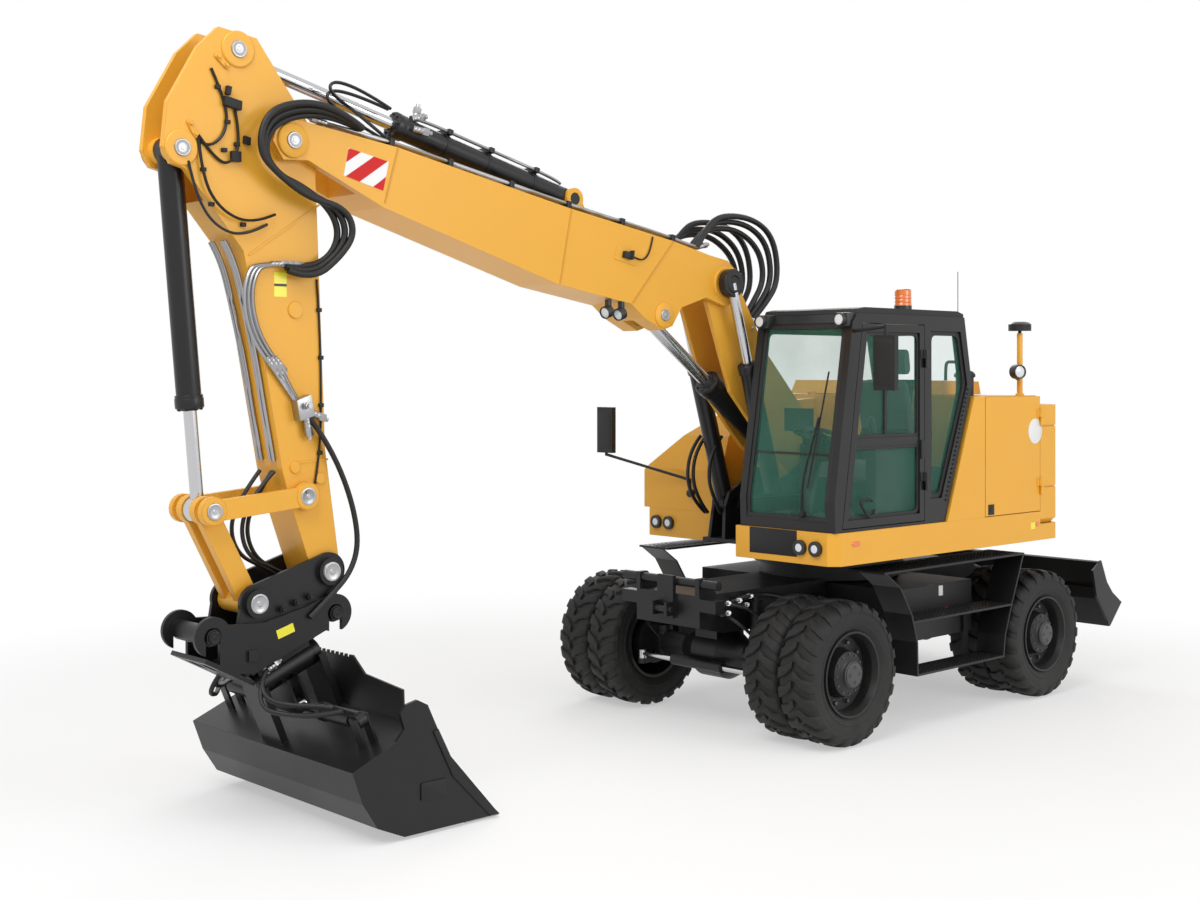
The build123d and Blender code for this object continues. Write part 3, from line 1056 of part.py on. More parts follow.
with BuildPart() as upper_boom:
    boom_outline = [
        (STICK_PIVOT[0] + 130, STICK_PIVOT[1] - 10),
        (STICK_PIVOT[0] + 95, STICK_PIVOT[1] + 90),
        (STICK_PIVOT[0], STICK_PIVOT[1] + 130),
        (SWING_X + 4407, 3984),
        (SWING_X + 3002, 3716),
        (SWING_X + 2014, 3554),
        (SWING_X + 1620, 3470),
        (BOOM_JOINT[0] - 30, BOOM_JOINT[1] + 170),
        (BOOM_JOINT[0] - 150, BOOM_JOINT[1] + 80),
        (BOOM_JOINT[0] - 150, BOOM_JOINT[1] - 80),
        (BOOM_JOINT[0] - 20, BOOM_JOINT[1] - 170),
        (BOOM_JOINT[0] + 200, BOOM_JOINT[1] - 110),
        (ADJUST_EYE[0] - 180, ADJUST_EYE[1] + 60),
        (ADJUST_EYE[0] - 85, ADJUST_EYE[1] - 75),
        (ADJUST_EYE[0] + 15, ADJUST_EYE[1] - 106),
        (ADJUST_EYE[0] + 200, ADJUST_EYE[1] - 20),
        (SWING_X + 2424, 3092),
        (SWING_X + 3105, 3201),
        (SWING_X + 4517, 3611),
        (STICK_PIVOT[0] - 105, STICK_PIVOT[1] - 104),
        (STICK_PIVOT[0] + 60, STICK_PIVOT[1] - 115),
    ]
    plate(boom_outline, -BOOM_HALF, BOOM_HALF)
    # Hollow between the forks
    hollow = [
        (SWING_X + 4600, 3660),
        (SWING_X + 4600, 3990),
        (SWING_X + 4400, 3960),
        (SWING_X + 3002, 3696),
        (SWING_X + 2150, 3556),
        (SWING_X + 2150, 3110),
        (SWING_X + 2424, 3112),
        (SWING_X + 3105, 3221),
        (SWING_X + 4517, 3632),
    ]
    plate(hollow, -BOOM_HALF + WALL, BOOM_HALF - WALL, mode=Mode.SUBTRACT)
    fork_half = STICK_HALF + SIDE_CLEAR
    block(SWING_X + 4680, SWING_X + 5500, -fork_half, fork_half, 3500, 4300, mode=Mode.SUBTRACT)
    # The lower boom's head sits between the rear cheeks, over its whole travel
    heel_half = LOWER_HALF + SIDE_CLEAR
    with Locations((BOOM_JOINT[0], 0, BOOM_JOINT[1])):
        Cylinder(430, 2 * heel_half, rotation=(90, 0, 0), mode=Mode.SUBTRACT)
    lug_half = ADJUST_EYE_HALF + SIDE_CLEAR
    block(SWING_X + 1300, ADJUST_EYE[0] + 162, -lug_half, lug_half, 2700, ADJUST_EYE[1] + 130, mode=Mode.SUBTRACT)
    cross_bar(BOOM_JOINT, PIN_RADIUS, -BOOM_HALF, BOOM_HALF)
    cross_bar(ADJUST_EYE, 80, -BOOM_HALF, BOOM_HALF)
    block(ADJUST_EYE[0] - 90, ADJUST_EYE[0] + 90, -lug_half, lug_half, ADJUST_EYE[1] - 120, ADJUST_EYE[1] + 90,
          mode=Mode.SUBTRACT)
    for side in (-1, 1):
        low, high = sorted((side * fork_half, side * BOOM_HALF))
        cross_bar(STICK_PIVOT, PIN_RADIUS + PIN_CLEAR, low, high, mode=Mode.SUBTRACT)
        # Ears on the top plate for the stick cylinder
        low, high = sorted((side * (STICK_CYL_EYE_HALF + 3), side * (STICK_CYL_EYE_HALF + 43)))
        plate([(STICK_CYL_BASE[0] - 130, STICK_CYL_BASE[1] - 160), (STICK_CYL_BASE[0] - 60, STICK_CYL_BASE[1]),
               (STICK_CYL_BASE[0] + 60, STICK_CYL_BASE[1]), (STICK_CYL_BASE[0] + 75, STICK_CYL_BASE[1] - 110)],
              low, high)
        cross_bar(STICK_CYL_BASE, 74, low, high)
        cross_bar(STICK_CYL_BASE, PIN_RADIUS + PIN_CLEAR, low, high, mode=Mode.SUBTRACT)
save(upper_boom, "upper_boom")


# Stick with the ears of both its cylinders

with BuildPart() as stick:
    stick_outline = [
        (SWING_X + 4960, 3840),
        (SWING_X + 5000, 4060),
        (SWING_X + 5350, 4520),
        (SWING_X + 5593, 4550),
        (SWING_X + 5720, 4423),
        (SWING_X + 5903, 4098),
        (SWING_X + 5930, 3850),
        (SWING_X + 5880, 3760),
        (SWING_X + 5800, 3740),
        (SWING_X + 5435, 3305),
        (SWING_X + 5332, 2855),
        (SWING_X + 5181, 2050),
        (SWING_X + 5120, 1840),
        (TIP_PIN[0] + 95, TIP_PIN[1]),
        (TIP_PIN[0] + 40, TIP_PIN[1] - 88),
        (TIP_PIN[0] - 60, TIP_PIN[1] - 78),
        (TIP_PIN[0] - 95, TIP_PIN[1] + 20),
        (SWING_X + 4890, 2157),
        (SWING_X + 4931, 3156),
    ]
    plate(stick_outline, -STICK_HALF, STICK_HALF)
    stick_inside = [
        (SWING_X + 4975, 3700),
        (SWING_X + 5360, 3500),
        (SWING_X + 5415, 3305),
        (SWING_X + 5312, 2855),
        (SWING_X + 5150, 2030),
        (SWING_X + 4910, 2030),
        (SWING_X + 4950, 3156),
    ]
    plate(stick_inside, -STICK_HALF + WALL, STICK_HALF - WALL, mode=Mode.SUBTRACT)
    head_inside = [
        (SWING_X + 4980, 4150),
        (SWING_X + 5200, 4560),
        (SWING_X + 5600, 4700),
        (SWING_X + 6000, 4500),
        (SWING_X + 6000, 3650),
        (SWING_X + 5700, 3560),
        (SWING_X + 5500, 3640),
        (SWING_X + 5250, 4030),
    ]
    plate(head_inside, -STICK_HALF + 40, STICK_HALF - 40, mode=Mode.SUBTRACT)
    cross_bar(STICK_PIVOT, PIN_RADIUS, -BOOM_HALF, BOOM_HALF)
    for side in (-1, 1):
        for place, half in ((STICK_CYL_EYE, STICK_CYL_EYE_HALF), (BUCKET_CYL_BASE, BUCKET_CYL_EYE_HALF)):
            low, high = sorted((side * (half + 3), side * STICK_HALF))
            cross_bar(place, 78, low, high)
    for side in (-1, 1):
        low, high = sorted((side * (BUCKET_CYL_EYE_HALF + 3), side * STICK_HALF))
        cross_bar(BUCKET_CYL_BASE, PIN_RADIUS + PIN_CLEAR, low, high, mode=Mode.SUBTRACT)
    cross_bar(ROCKER_PIVOT, 80, -STICK_HALF, STICK_HALF)
    cross_bar(ROCKER_PIVOT, PIN_RADIUS + PIN_CLEAR, -STICK_HALF, STICK_HALF, mode=Mode.SUBTRACT)
    cross_bar(TIP_PIN, PIN_RADIUS + PIN_CLEAR, -STICK_HALF, STICK_HALF, mode=Mode.SUBTRACT)
save(stick, "stick")

with BuildPart() as stick_barrel:
    add(barrel(STICK_CYL_BASE, STICK_CYL_EYE, STICK_BARREL_RADIUS, STICK_ROD_RADIUS, STICK_BARREL, 0,
               2 * STICK_CYL_EYE_HALF, STICK_CYL_EYE_HALF + 43, PIN_RADIUS).part)
save(stick_barrel, "stick_cylinder_barrel")
with BuildPart() as stick_rod:
    add(rod(STICK_CYL_BASE, STICK_CYL_EYE, STICK_ROD_RADIUS, STICK_BARREL, STICK_INSIDE, 0, 2 * STICK_CYL_EYE_HALF,
            PIN_RADIUS).part)
save(stick_rod, "stick_cylinder_rod")

with BuildPart() as bucket_barrel:
    add(barrel(BUCKET_CYL_BASE, ROCKER_END, BUCKET_BARREL_RADIUS, BUCKET_ROD_RADIUS, BUCKET_BARREL, 0,
               2 * BUCKET_CYL_EYE_HALF, STICK_HALF, PIN_RADIUS).part)
save(bucket_barrel, "bucket_cylinder_barrel")
with BuildPart() as bucket_rod:
    add(rod(BUCKET_CYL_BASE, ROCKER_END, BUCKET_ROD_RADIUS, BUCKET_BARREL, BUCKET_INSIDE, 0, 76, PIN_RADIUS).part)
save(bucket_rod, "bucket_cylinder_rod")

with BuildPart() as rocker:
    rise = math.atan2(ROCKER_END[1] - ROCKER_PIVOT[1], ROCKER_END[0] - ROCKER_PIVOT[0])
    edge = (-math.sin(rise) * 58, math.cos(rise) * 58)
    for side in (-1, 1):
        low, high = sorted((side * (STICK_HALF + SIDE_CLEAR), side * (STICK_HALF + SIDE_CLEAR + 40)))
        cross_bar(ROCKER_PIVOT, 82, low, high)
        cross_bar(ROCKER_END, 82, low, high)
        plate([(ROCKER_PIVOT[0] + edge[0], ROCKER_PIVOT[1] + edge[1]), (ROCKER_END[0] + edge[0], ROCKER_END[1] + edge[1]),
               (ROCKER_END[0] - edge[0], ROCKER_END[1] - edge[1]), (ROCKER_PIVOT[0] - edge[0], ROCKER_PIVOT[1] - edge[1])],
              low, high)
        cross_bar(ROCKER_END, PIN_RADIUS + PIN_CLEAR, low, high, mode=Mode.SUBTRACT)
    cross_bar(ROCKER_PIVOT, PIN_RADIUS, -STICK_HALF - SIDE_CLEAR - 40, STICK_HALF + SIDE_CLEAR + 40)
save(rocker, "rocker")

with BuildPart() as power_link:
    fall = math.atan2(LINK_PIN[1] - ROCKER_END[1], LINK_PIN[0] - ROCKER_END[0])
    edge = (-math.sin(fall) * 62, math.cos(fall) * 62)
    for side in (-1, 1):
        low, high = sorted((side * 46, side * 104))
        cross_bar(ROCKER_END, 80, low, high)
        plate([(ROCKER_END[0] + edge[0], ROCKER_END[1] + edge[1]), (LINK_PIN[0] + edge[0], LINK_PIN[1] + edge[1]),
               (LINK_PIN[0] - edge[0], LINK_PIN[1] - edge[1]), (ROCKER_END[0] - edge[0], ROCKER_END[1] - edge[1])],
              low, high)
        low, high = sorted((side * 46, side * (STICK_HALF + SIDE_CLEAR + 40)))
        cross_bar(ROCKER_END, PIN_RADIUS, low, high)
    cross_bar(LINK_PIN, 74, -STICK_HALF, STICK_HALF)
save(power_link, "power_link")


# Quick coupler on the stick's tip and the link's end, with the tube that the bucket tilts on

TOOL = Plane(
    origin=(TILT_POINT[0], 0, TILT_POINT[1]),
    x_dir=(math.cos(math.radians(TOOL_SLOPE)), 0, -math.sin(math.radians(TOOL_SLOPE))),
    z_dir=(math.sin(math.radians(TOOL_SLOPE)), 0, math.cos(math.radians(TOOL_SLOPE))),
)


def tool_place(x, y, z):
    """A place given on the tool's sloping plane, in the machine's own coordinates."""
    return TOOL.from_local_coords(Vector(x, y, z))


def tool_block(x_low, x_high, y_low, y_high, z_low, z_high, mode=Mode.ADD):
    """A block laid square to the tool's sloping plane."""
    middle = tool_place((x_low + x_high) / 2, (y_low + y_high) / 2, (z_low + z_high) / 2)
    with Locations(Location(middle, (0, TOOL_SLOPE, 0))):
        Box(x_high - x_low, y_high - y_low, z_high - z_low, mode=mode)


def tool_bar(x_low, x_high, radius, y=0.0, z=0.0, mode=Mode.ADD):
    """A round bar or bore along the tilt axis."""
    bar(tuple(tool_place(x_low, y, z)), tuple(tool_place(x_high, y, z)), radius, mode=mode)


COUPLER_INNER = STICK_HALF + SIDE_CLEAR
COUPLER_MIDDLE = COUPLER_INNER + COUPLER_PLATE
COUPLER_OUTER = COUPLER_MIDDLE + COUPLER_PLATE
REAR_HOOK = (SWING_X + 4855, 1195)
FRONT_HOOK = (SWING_X + 5658, 1143)
HOOK_RADIUS = 112.0
HOOK_PIN_RADIUS = 44.0
HOOK_PLAY = 8.0
TILT_TUBE_LOW = -395.0
TILT_TUBE_HIGH = -25.0

with BuildPart() as coupler:
    bracket = [
        (TIP_PIN[0] - 92, TIP_PIN[1] - 60),
        (TIP_PIN[0] + 20, TIP_PIN[1] + 108),
        (LINK_PIN[0] + 40, LINK_PIN[1] + 100),
        (LINK_PIN[0] + 104, LINK_PIN[1] - 20),
        (SWING_X + 5499, 1121),
        (SWING_X + 5440, 980),
        (SWING_X + 4990, 1150),
        (SWING_X + 4829, 1306),
    ]
    body = [
        (SWING_X + 4800, 1140),
        (SWING_X + 4860, 1300),
        (SWING_X + 4960, 1286),
        (SWING_X + 5060, 1250),
        (SWING_X + 5330, 1190),
        (SWING_X + 5560, 1200),
        (SWING_X + 5690, 1060),
        (SWING_X + 5640, 975),
        (SWING_X + 5540, 920),
        (SWING_X + 5390, 907),
        (SWING_X + 4932, 1095),
    ]
    for side in (-1, 1):
        low, high = sorted((side * COUPLER_INNER, side * COUPLER_MIDDLE))
        plate(bracket, low, high)
        cross_bar(TIP_PIN, 110, low, high)
        cross_bar(LINK_PIN, 108, low, high)
        # Side plates of the tool's adapter, hooked round a pin at each end
        low, high = sorted((side * COUPLER_MIDDLE, side * COUPLER_OUTER))
        plate(body, low, high)
        for hook in (REAR_HOOK, FRONT_HOOK):
            cross_bar(hook, HOOK_RADIUS, low, high)
            cross_bar(hook, HOOK_PIN_RADIUS + HOOK_PLAY, low, high, mode=Mode.SUBTRACT)
            block(hook[0] - HOOK_PIN_RADIUS, hook[0] + HOOK_PIN_RADIUS, low, high, hook[1] - 1.5 * HOOK_RADIUS, hook[1],
                  mode=Mode.SUBTRACT)
        low, high = sorted((side * COUPLER_INNER, side * (COUPLER_OUTER + 6)))
        cross_bar(TIP_PIN, 82, low, high)
        cross_bar(LINK_PIN, 82, low, high)
        for share in (0.36, 0.55, 0.74):
            bolt = along(TIP_PIN, LINK_PIN, share=share)
            cross_bar((bolt[0] - 30, bolt[1] - 84), 20, *sorted((side * COUPLER_INNER, side * (COUPLER_OUTER + 4))))
        low, high = sorted((side * COUPLER_MIDDLE, side * (COUPLER_OUTER + 18)))
        block(SWING_X + 5380, SWING_X + 5442, low, high, 980, 1042)
    for hook in (REAR_HOOK, FRONT_HOOK):
        cross_bar(hook, HOOK_PIN_RADIUS, -COUPLER_OUTER - 12, COUPLER_OUTER + 12)
        cross_bar(hook, HOOK_PIN_RADIUS + HOOK_PLAY + 4, -COUPLER_MIDDLE, COUPLER_MIDDLE)
    # Sloping foot plate with two windows under the front hook
    foot = [(SWING_X + 5709, 1003), (SWING_X + 5402, 839), (SWING_X + 5390, 862), (SWING_X + 5697, 1026)]
    plate(foot, -COUPLER_OUTER, COUPLER_OUTER)
    for side in (-1, 1):
        low, high = sorted((side * 30, side * 120))
        plate([(SWING_X + 5668, 960), (SWING_X + 5570, 908), (SWING_X + 5540, 966), (SWING_X + 5638, 1018)], low, high,
              mode=Mode.SUBTRACT)
    tool_block(-430, 110, -COUPLER_MIDDLE, COUPLER_MIDDLE, 146, 200)
    cross_bar(TIP_PIN, PIN_RADIUS, -COUPLER_OUTER - 6, COUPLER_OUTER + 6)
    # Tilt tube, hung from the base plate
    tool_block(TILT_TUBE_LOW, TILT_TUBE_HIGH, -50, 50, 0, 150)
    tool_bar(TILT_TUBE_LOW, TILT_TUBE_HIGH, 76)
    # Ears below the tube for the rods of both tilt cylinders
    for x in (TILT_X - 46, TILT_X + 30):
        tool_block(x, x + 16, -TILT_EYE[0] - 40, TILT_EYE[0] + 40, TILT_EYE[1] - 30, -20)
    tool_bar(TILT_TUBE_LOW - 1, TILT_TUBE_HIGH + 1, TILT_PIN_RADIUS + PIN_CLEAR, mode=Mode.SUBTRACT)
save(coupler, "coupler")


# Tilting grading bucket

SHEET_DROP = 360.0
GUARD_TOP = 930.0
GUARD_HALF = ((710, 618), (700, 800), (320, 838), (196, GUARD_TOP))

with BuildPart() as bucket:
    back_curve = [(SWING_X + 5030, 100), (SWING_X + 5129, 250)]
    lip = (SWING_X + 4722, 635)
    heel = (SWING_X + 5198, 436)
    edge = (SWING_X + 4170, 20)
    turn = (SWING_X + 4850, 20)
    shell = [edge, turn] + back_curve + [heel, lip]
    with BuildSketch(Plane.XZ.offset(-BUCKET_HALF)) as outside:
        with BuildLine():
            Polyline(*shell, close=True)
        make_face()
    extrude(outside.sketch, amount=2 * BUCKET_HALF)
    hollow = [
        (edge[0] - 60, edge[1] + BUCKET_SHELL),
        (turn[0] - 4, turn[1] + BUCKET_SHELL),
        (back_curve[0][0] - 10, back_curve[0][1] + 12),
        (back_curve[1][0] - 16, back_curve[1][1] + 4),
        (heel[0] - 22, heel[1] - 10),
        (lip[0] + 20, lip[1] - 26),
        (lip[0] - 200, lip[1] + 60),
        (edge[0] - 200, edge[1] + 200),
    ]
    plate(hollow, -BUCKET_HALF + BUCKET_SIDE, BUCKET_HALF - BUCKET_SIDE, mode=Mode.SUBTRACT)
    cheek = [
        edge,
        turn,
        back_curve[0],
        back_curve[1],
        heel,
        (SWING_X + 4907, 557),
        (SWING_X + 4850, 620),
        (SWING_X + 4880, 710),
        (SWING_X + 4840, 755),
        (SWING_X + 4761, 772),
        (SWING_X + 4690, 735),
        (SWING_X + 4620, 590),
        (SWING_X + 4480, 320),
        (SWING_X + 4250, 90),
    ]
    for side in (-1, 1):
        low, high = sorted((side * BUCKET_HALF, side * (BUCKET_HALF - BUCKET_SIDE)))
        plate(cheek, low, high)
    # Spill guard along the rear lip, higher and notched in the middle
    with BuildSketch(Plane.YZ.offset(lip[0])) as guard:
        with BuildLine():
            Polyline(*[(side * y, z) for side in (-1, 1) for y, z in GUARD_HALF[::side]], close=True)
        make_face()
        for notch in range(-3, 4):
            with Locations((notch * 48, GUARD_TOP)):
                RegularPolygon(22, 4, rotation=45, mode=Mode.SUBTRACT)
    extrude(guard.sketch, amount=14)
    # Lugs at both ends of the tilt pin
    for x_low in (TILT_TUBE_LOW - 46, TILT_TUBE_HIGH + SEAT_GAP):
        tool_block(x_low, x_low + 46 - SEAT_GAP, -110, 110, -SHEET_DROP - 4, 0)
        tool_bar(x_low, x_low + 46 - SEAT_GAP, 76)
    tool_bar(TILT_TUBE_LOW - 46, TILT_TUBE_HIGH + 46, TILT_PIN_RADIUS)
    for side in (-1, 1):
        for x in (TILT_X - 46, TILT_X + 30):
            y_low, y_high = sorted((side * (TILT_LUG[0] - 36), side * (TILT_LUG[0] + 36)))
            tool_block(x, x + 16, y_low, y_high, -SHEET_DROP - 4, TILT_LUG[1] + 30)
        tool_bar(TILT_X - 50, TILT_X + 50, TILT_CYL_PIN + PIN_CLEAR, side * TILT_LUG[0], TILT_LUG[1], mode=Mode.SUBTRACT)
save(bucket, "bucket")

tilt_run = math.hypot(TILT_LUG[0] - TILT_EYE[0], TILT_LUG[1] - TILT_EYE[1])
for name, side in (("left", 1), ("right", -1)):
    lug = tool_place(TILT_X, side * TILT_LUG[0], TILT_LUG[1])
    eye = tool_place(TILT_X, side * TILT_EYE[0], TILT_EYE[1])
    seat_plane = Plane(origin=lug, x_dir=eye - lug, z_dir=(eye - lug).cross(TOOL.x_dir))
    barrel_part = barrel((0, 0), (tilt_run, 0), 48, 26, TILT_BARREL, 0, 56, 46, TILT_CYL_PIN)
    rod_part = rod((0, 0), (tilt_run, 0), 26, TILT_BARREL, TILT_INSIDE, 0, 52, TILT_CYL_PIN)
    with BuildPart() as tilt_barrel:
        add(barrel_part.part.moved(seat_plane.location))
    save(tilt_barrel, f"tilt_barrel_{name}")
    with BuildPart() as tilt_rod:
        add(rod_part.part.moved(seat_plane.location))
    save(tilt_rod, f"tilt_rod_{name}")
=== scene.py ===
import math

import bmesh
import bpy
from mathutils import Matrix, Vector


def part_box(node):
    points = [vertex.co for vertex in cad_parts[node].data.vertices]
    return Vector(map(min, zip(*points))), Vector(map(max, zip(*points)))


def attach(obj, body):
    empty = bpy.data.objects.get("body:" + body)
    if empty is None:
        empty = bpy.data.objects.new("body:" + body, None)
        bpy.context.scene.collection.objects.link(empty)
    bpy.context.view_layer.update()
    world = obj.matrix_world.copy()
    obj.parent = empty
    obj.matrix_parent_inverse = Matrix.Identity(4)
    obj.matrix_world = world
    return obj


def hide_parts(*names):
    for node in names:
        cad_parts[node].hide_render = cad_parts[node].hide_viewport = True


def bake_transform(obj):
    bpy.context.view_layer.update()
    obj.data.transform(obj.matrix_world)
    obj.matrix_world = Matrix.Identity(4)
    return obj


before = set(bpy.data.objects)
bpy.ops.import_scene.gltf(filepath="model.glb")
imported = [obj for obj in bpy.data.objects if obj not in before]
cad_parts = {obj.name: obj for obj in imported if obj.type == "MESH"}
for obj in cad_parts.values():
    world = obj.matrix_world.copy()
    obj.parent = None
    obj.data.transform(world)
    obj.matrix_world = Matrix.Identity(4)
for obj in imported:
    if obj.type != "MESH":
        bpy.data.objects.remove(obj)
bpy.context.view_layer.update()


# Camera, floor and light. The camera stands level at the height of the cab's windows, left of the
# machine and ahead of it. The floor and the sky read as white to the camera and in reflections,
# while the light that falls on the machine stays plain and soft.

camera = bpy.data.objects.new("camera", bpy.data.cameras.new("camera"))
bpy.context.scene.collection.objects.link(camera)
camera.location = (8.2543, 7.979, 2.6084)
camera.rotation_euler = (math.radians(90), 0, math.radians(226.92 - 90))
camera.data.lens = 46.78
camera.data.sensor_width = 36
camera.data.shift_y = -0.064
bpy.context.scene.camera = camera
bpy.context.scene.view_settings.view_transform = "Standard"


def soft_box(name, place, aim, width, power):
    """A square studio lamp that looks at a point."""
    lamp = bpy.data.lights.new(name, "AREA")
    lamp.size = width
    lamp.energy = power
    holder = bpy.data.objects.new(name, lamp)
    bpy.context.scene.collection.objects.link(holder)
    holder.location = place
    holder.rotation_euler = (Vector(aim) - Vector(place)).to_track_quat("-Z", "Y").to_euler()


soft_box("key_light", (7.5, 2.5, 9.5), (0.5, 0, 1.2), 6.0, 560)
soft_box("side_light", (-2.0, 10.5, 5.5), (-0.5, 0, 1.5), 6.0, 370)
soft_box("back_light", (-7.5, -7.0, 7.0), (-1.0, 0, 1.5), 6.0, 330)


def feed(tree, target, inputs):
    """Gives each input of a node a value, or the output of another node."""
    for socket, given in inputs.items():
        if isinstance(given, bpy.types.NodeSocket):
            tree.links.new(given, target.inputs[socket])
        else:
            target.inputs[socket].default_value = given


def node(tree, kind, inputs=None, **settings):
    """Adds a node with its settings and inputs."""
    made = tree.nodes.new(kind)
    for name, value in settings.items():
        setattr(made, name, value)
    feed(tree, made, inputs or {})
    return made


def white_to_camera(tree, plain, white):
    """Mixes a plain shader with white for what the camera, mirrors and glass see."""
    path = node(tree, "ShaderNodeLightPath")
    seen = node(tree, "ShaderNodeMath", {
        0: path.outputs["Is Camera Ray"], 1: path.outputs["Is Glossy Ray"],
    }, operation="MAXIMUM")
    either = node(tree, "ShaderNodeMath", {
        0: seen.outputs[0], 1: path.outputs["Is Transmission Ray"],
    }, operation="MAXIMUM")
    return node(tree, "ShaderNodeMixShader", {0: either.outputs[0], 1: plain, 2: white}).outputs[0]


sky = bpy.data.worlds.new("studio")
bpy.context.scene.world = sky
sky.use_nodes = True
sky_tree = sky.node_tree
sky_tree.nodes.clear()
ambient = node(sky_tree, "ShaderNodeBackground", {"Color": (1, 1, 1, 1), "Strength": 0.55})
bright = node(sky_tree, "ShaderNodeBackground", {"Color": (1, 1, 1, 1), "Strength": 1.0})
node(sky_tree, "ShaderNodeOutputWorld", {
    0: white_to_camera(sky_tree, ambient.outputs[0], bright.outputs[0]),
})

# The floor shows its shadow near the machine and fades to white beyond
FADE_STARTS, FADE_ENDS = 4.0, 8.0
floor_finish = bpy.data.materials.new("studio_floor")
floor_finish.use_nodes = True
floor_tree = floor_finish.node_tree
floor_tree.nodes.clear()
floor_matt = node(floor_tree, "ShaderNodeBsdfDiffuse", {"Color": (0.93, 0.93, 0.93, 1)})
floor_white = node(floor_tree, "ShaderNodeEmission", {"Strength": 1.0})
floor_place = node(floor_tree, "ShaderNodeTexCoord")
floor_reach = node(floor_tree, "ShaderNodeVectorMath", {0: floor_place.outputs["Object"]}, operation="LENGTH")
floor_fade = node(floor_tree, "ShaderNodeMapRange", {
    "From Min": FADE_STARTS, "From Max": FADE_ENDS, "To Min": 0.45, "To Max": 1.0,
    "Value": floor_reach.outputs["Value"],
}, interpolation_type="SMOOTHSTEP")
floor_mix = node(floor_tree, "ShaderNodeMixShader", {
    0: floor_fade.outputs[0], 1: floor_matt.outputs[0], 2: floor_white.outputs[0],
})
node(floor_tree, "ShaderNodeOutputMaterial", {
    0: white_to_camera(floor_tree, floor_matt.outputs[0], floor_mix.outputs[0]),
})
floor_mesh = bpy.data.meshes.new("floor")
floor_mesh.from_pydata([(-60, -60, 0), (60, -60, 0), (60, 60, 0), (-60, 60, 0)], [], [(0, 1, 2, 3)])
floor_mesh.materials.append(floor_finish)
floor = bpy.data.objects.new("floor", floor_mesh)
bpy.context.scene.collection.objects.link(floor)


# Tyres. Eight equal tyres in twins, each a moulded carcass with rounded shoulders and two rows of
# slanted block lugs that meet in a V on the crown. The carcass is turned from its section, and the
# lugs are set round it by Geometry Nodes.

def surface(
    name, colour, rough, *, spread=0.06, grain=0.0, grain_size=60.0, dust=0.0, metal=0.0, coat=0.0,
    edge=0.0, gloss=0.5,
):
    """A solid finish with uneven tone, fine grain, dust low down and softened edges."""
    made = bpy.data.materials.new(name)
    made.use_nodes = True
    tree = made.node_tree
    shader = tree.nodes["Principled BSDF"]
    place = node(tree, "ShaderNodeTexCoord")

    def noise(scale, detail):
        """Noise on the piece's own coordinates."""
        return node(tree, "ShaderNodeTexNoise", {
            "Scale": scale, "Detail": detail, "Vector": place.outputs["Object"],
        })

    broad = noise(2.3, 5)
    tone = node(tree, "ShaderNodeMapRange", {
        "To Min": 1 - spread, "To Max": 1 + spread, "Value": broad.outputs["Fac"],
    })
    tinted = node(tree, "ShaderNodeVectorMath", {0: colour, "Scale": tone.outputs[0]}, operation="SCALE")
    last = tinted.outputs[0]
    if dust:
        height = node(tree, "ShaderNodeSeparateXYZ", {0: place.outputs["Object"]})
        low = node(tree, "ShaderNodeMapRange", {
            "From Min": 0.0, "From Max": 1.3, "To Min": dust, "To Max": 0.0, "Value": height.outputs["Z"],
        })
        patch = noise(9.0, 7)
        share = node(tree, "ShaderNodeMath", {
            0: low.outputs[0], 1: patch.outputs["Fac"],
        }, operation="MULTIPLY")
        dusty = node(tree, "ShaderNodeMix", {
            "B": (0.20, 0.19, 0.17, 1), "Factor": share.outputs[0], "A": last,
        }, data_type="RGBA")
        last = dusty.outputs["Result"]
    uneven = node(tree, "ShaderNodeMapRange", {
        "To Min": max(0.02, rough - 0.07), "To Max": min(1.0, rough + 0.09), "Value": broad.outputs["Fac"],
    })
    feed(tree, shader, {
        "Metallic": metal, "Specular IOR Level": gloss, "Coat Weight": coat, "Coat Roughness": 0.12,
        "Base Color": last, "Roughness": uneven.outputs[0],
    })
    normal = None
    if edge:
        normal = node(tree, "ShaderNodeBevel", {"Radius": edge}, samples=4).outputs[0]
    if grain:
        fine = noise(grain_size, 3)
        bump = node(tree, "ShaderNodeBump", {
            "Strength": grain, "Distance": 0.002, "Height": fine.outputs["Fac"],
        })
        if normal:
            feed(tree, bump, {"Normal": normal})
        normal = bump.outputs[0]
    if normal:
        feed(tree, shader, {"Normal": normal})
    return made


def joined(parts):
    """One mesh from parts: a mesh, (mesh, place), or (mesh, place, finish number)."""
    whole = bmesh.new()
    for part in parts:
        given = part if isinstance(part, tuple) else (part,)
        mesh, place, number = given + (Matrix(), None)[len(given) - 1:]
        first_point, first_face = len(whole.verts), len(whole.faces)
        whole.from_mesh(mesh)
        whole.verts.ensure_lookup_table()
        whole.faces.ensure_lookup_table()
        bmesh.ops.transform(whole, matrix=place, verts=whole.verts[first_point:])
        if number is not None:
            for face in whole.faces[first_face:]:
                face.material_index = number
    mesh = bpy.data.meshes.new("joined")
    whole.to_mesh(mesh)
    whole.free()
    return mesh


def piece(name, shape, body, *finishes, smooth=None, slot=None):
    """Puts a mesh, or a list of parts, in the scene as one piece that rides on a body."""
    mesh = joined(shape) if isinstance(shape, list) else shape
    numbers = [face.material_index for face in mesh.polygons]
    mesh.materials.clear()
    for finish in finishes:
        mesh.materials.append(finish)
    mesh.polygons.foreach_set("material_index", numbers if len(finishes) > 1 else [0] * len(numbers))
    thing = bpy.data.objects.new(name, mesh)
    bpy.context.scene.collection.objects.link(thing)
    if smooth is not None:
        mesh.shade_smooth()
        mesh.set_sharp_from_angle(angle=math.radians(smooth))
    if body:
        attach(thing, body)
    return thing


# The smallest radius of a turned shape, which closes its middle
CENTRE = 0.0001


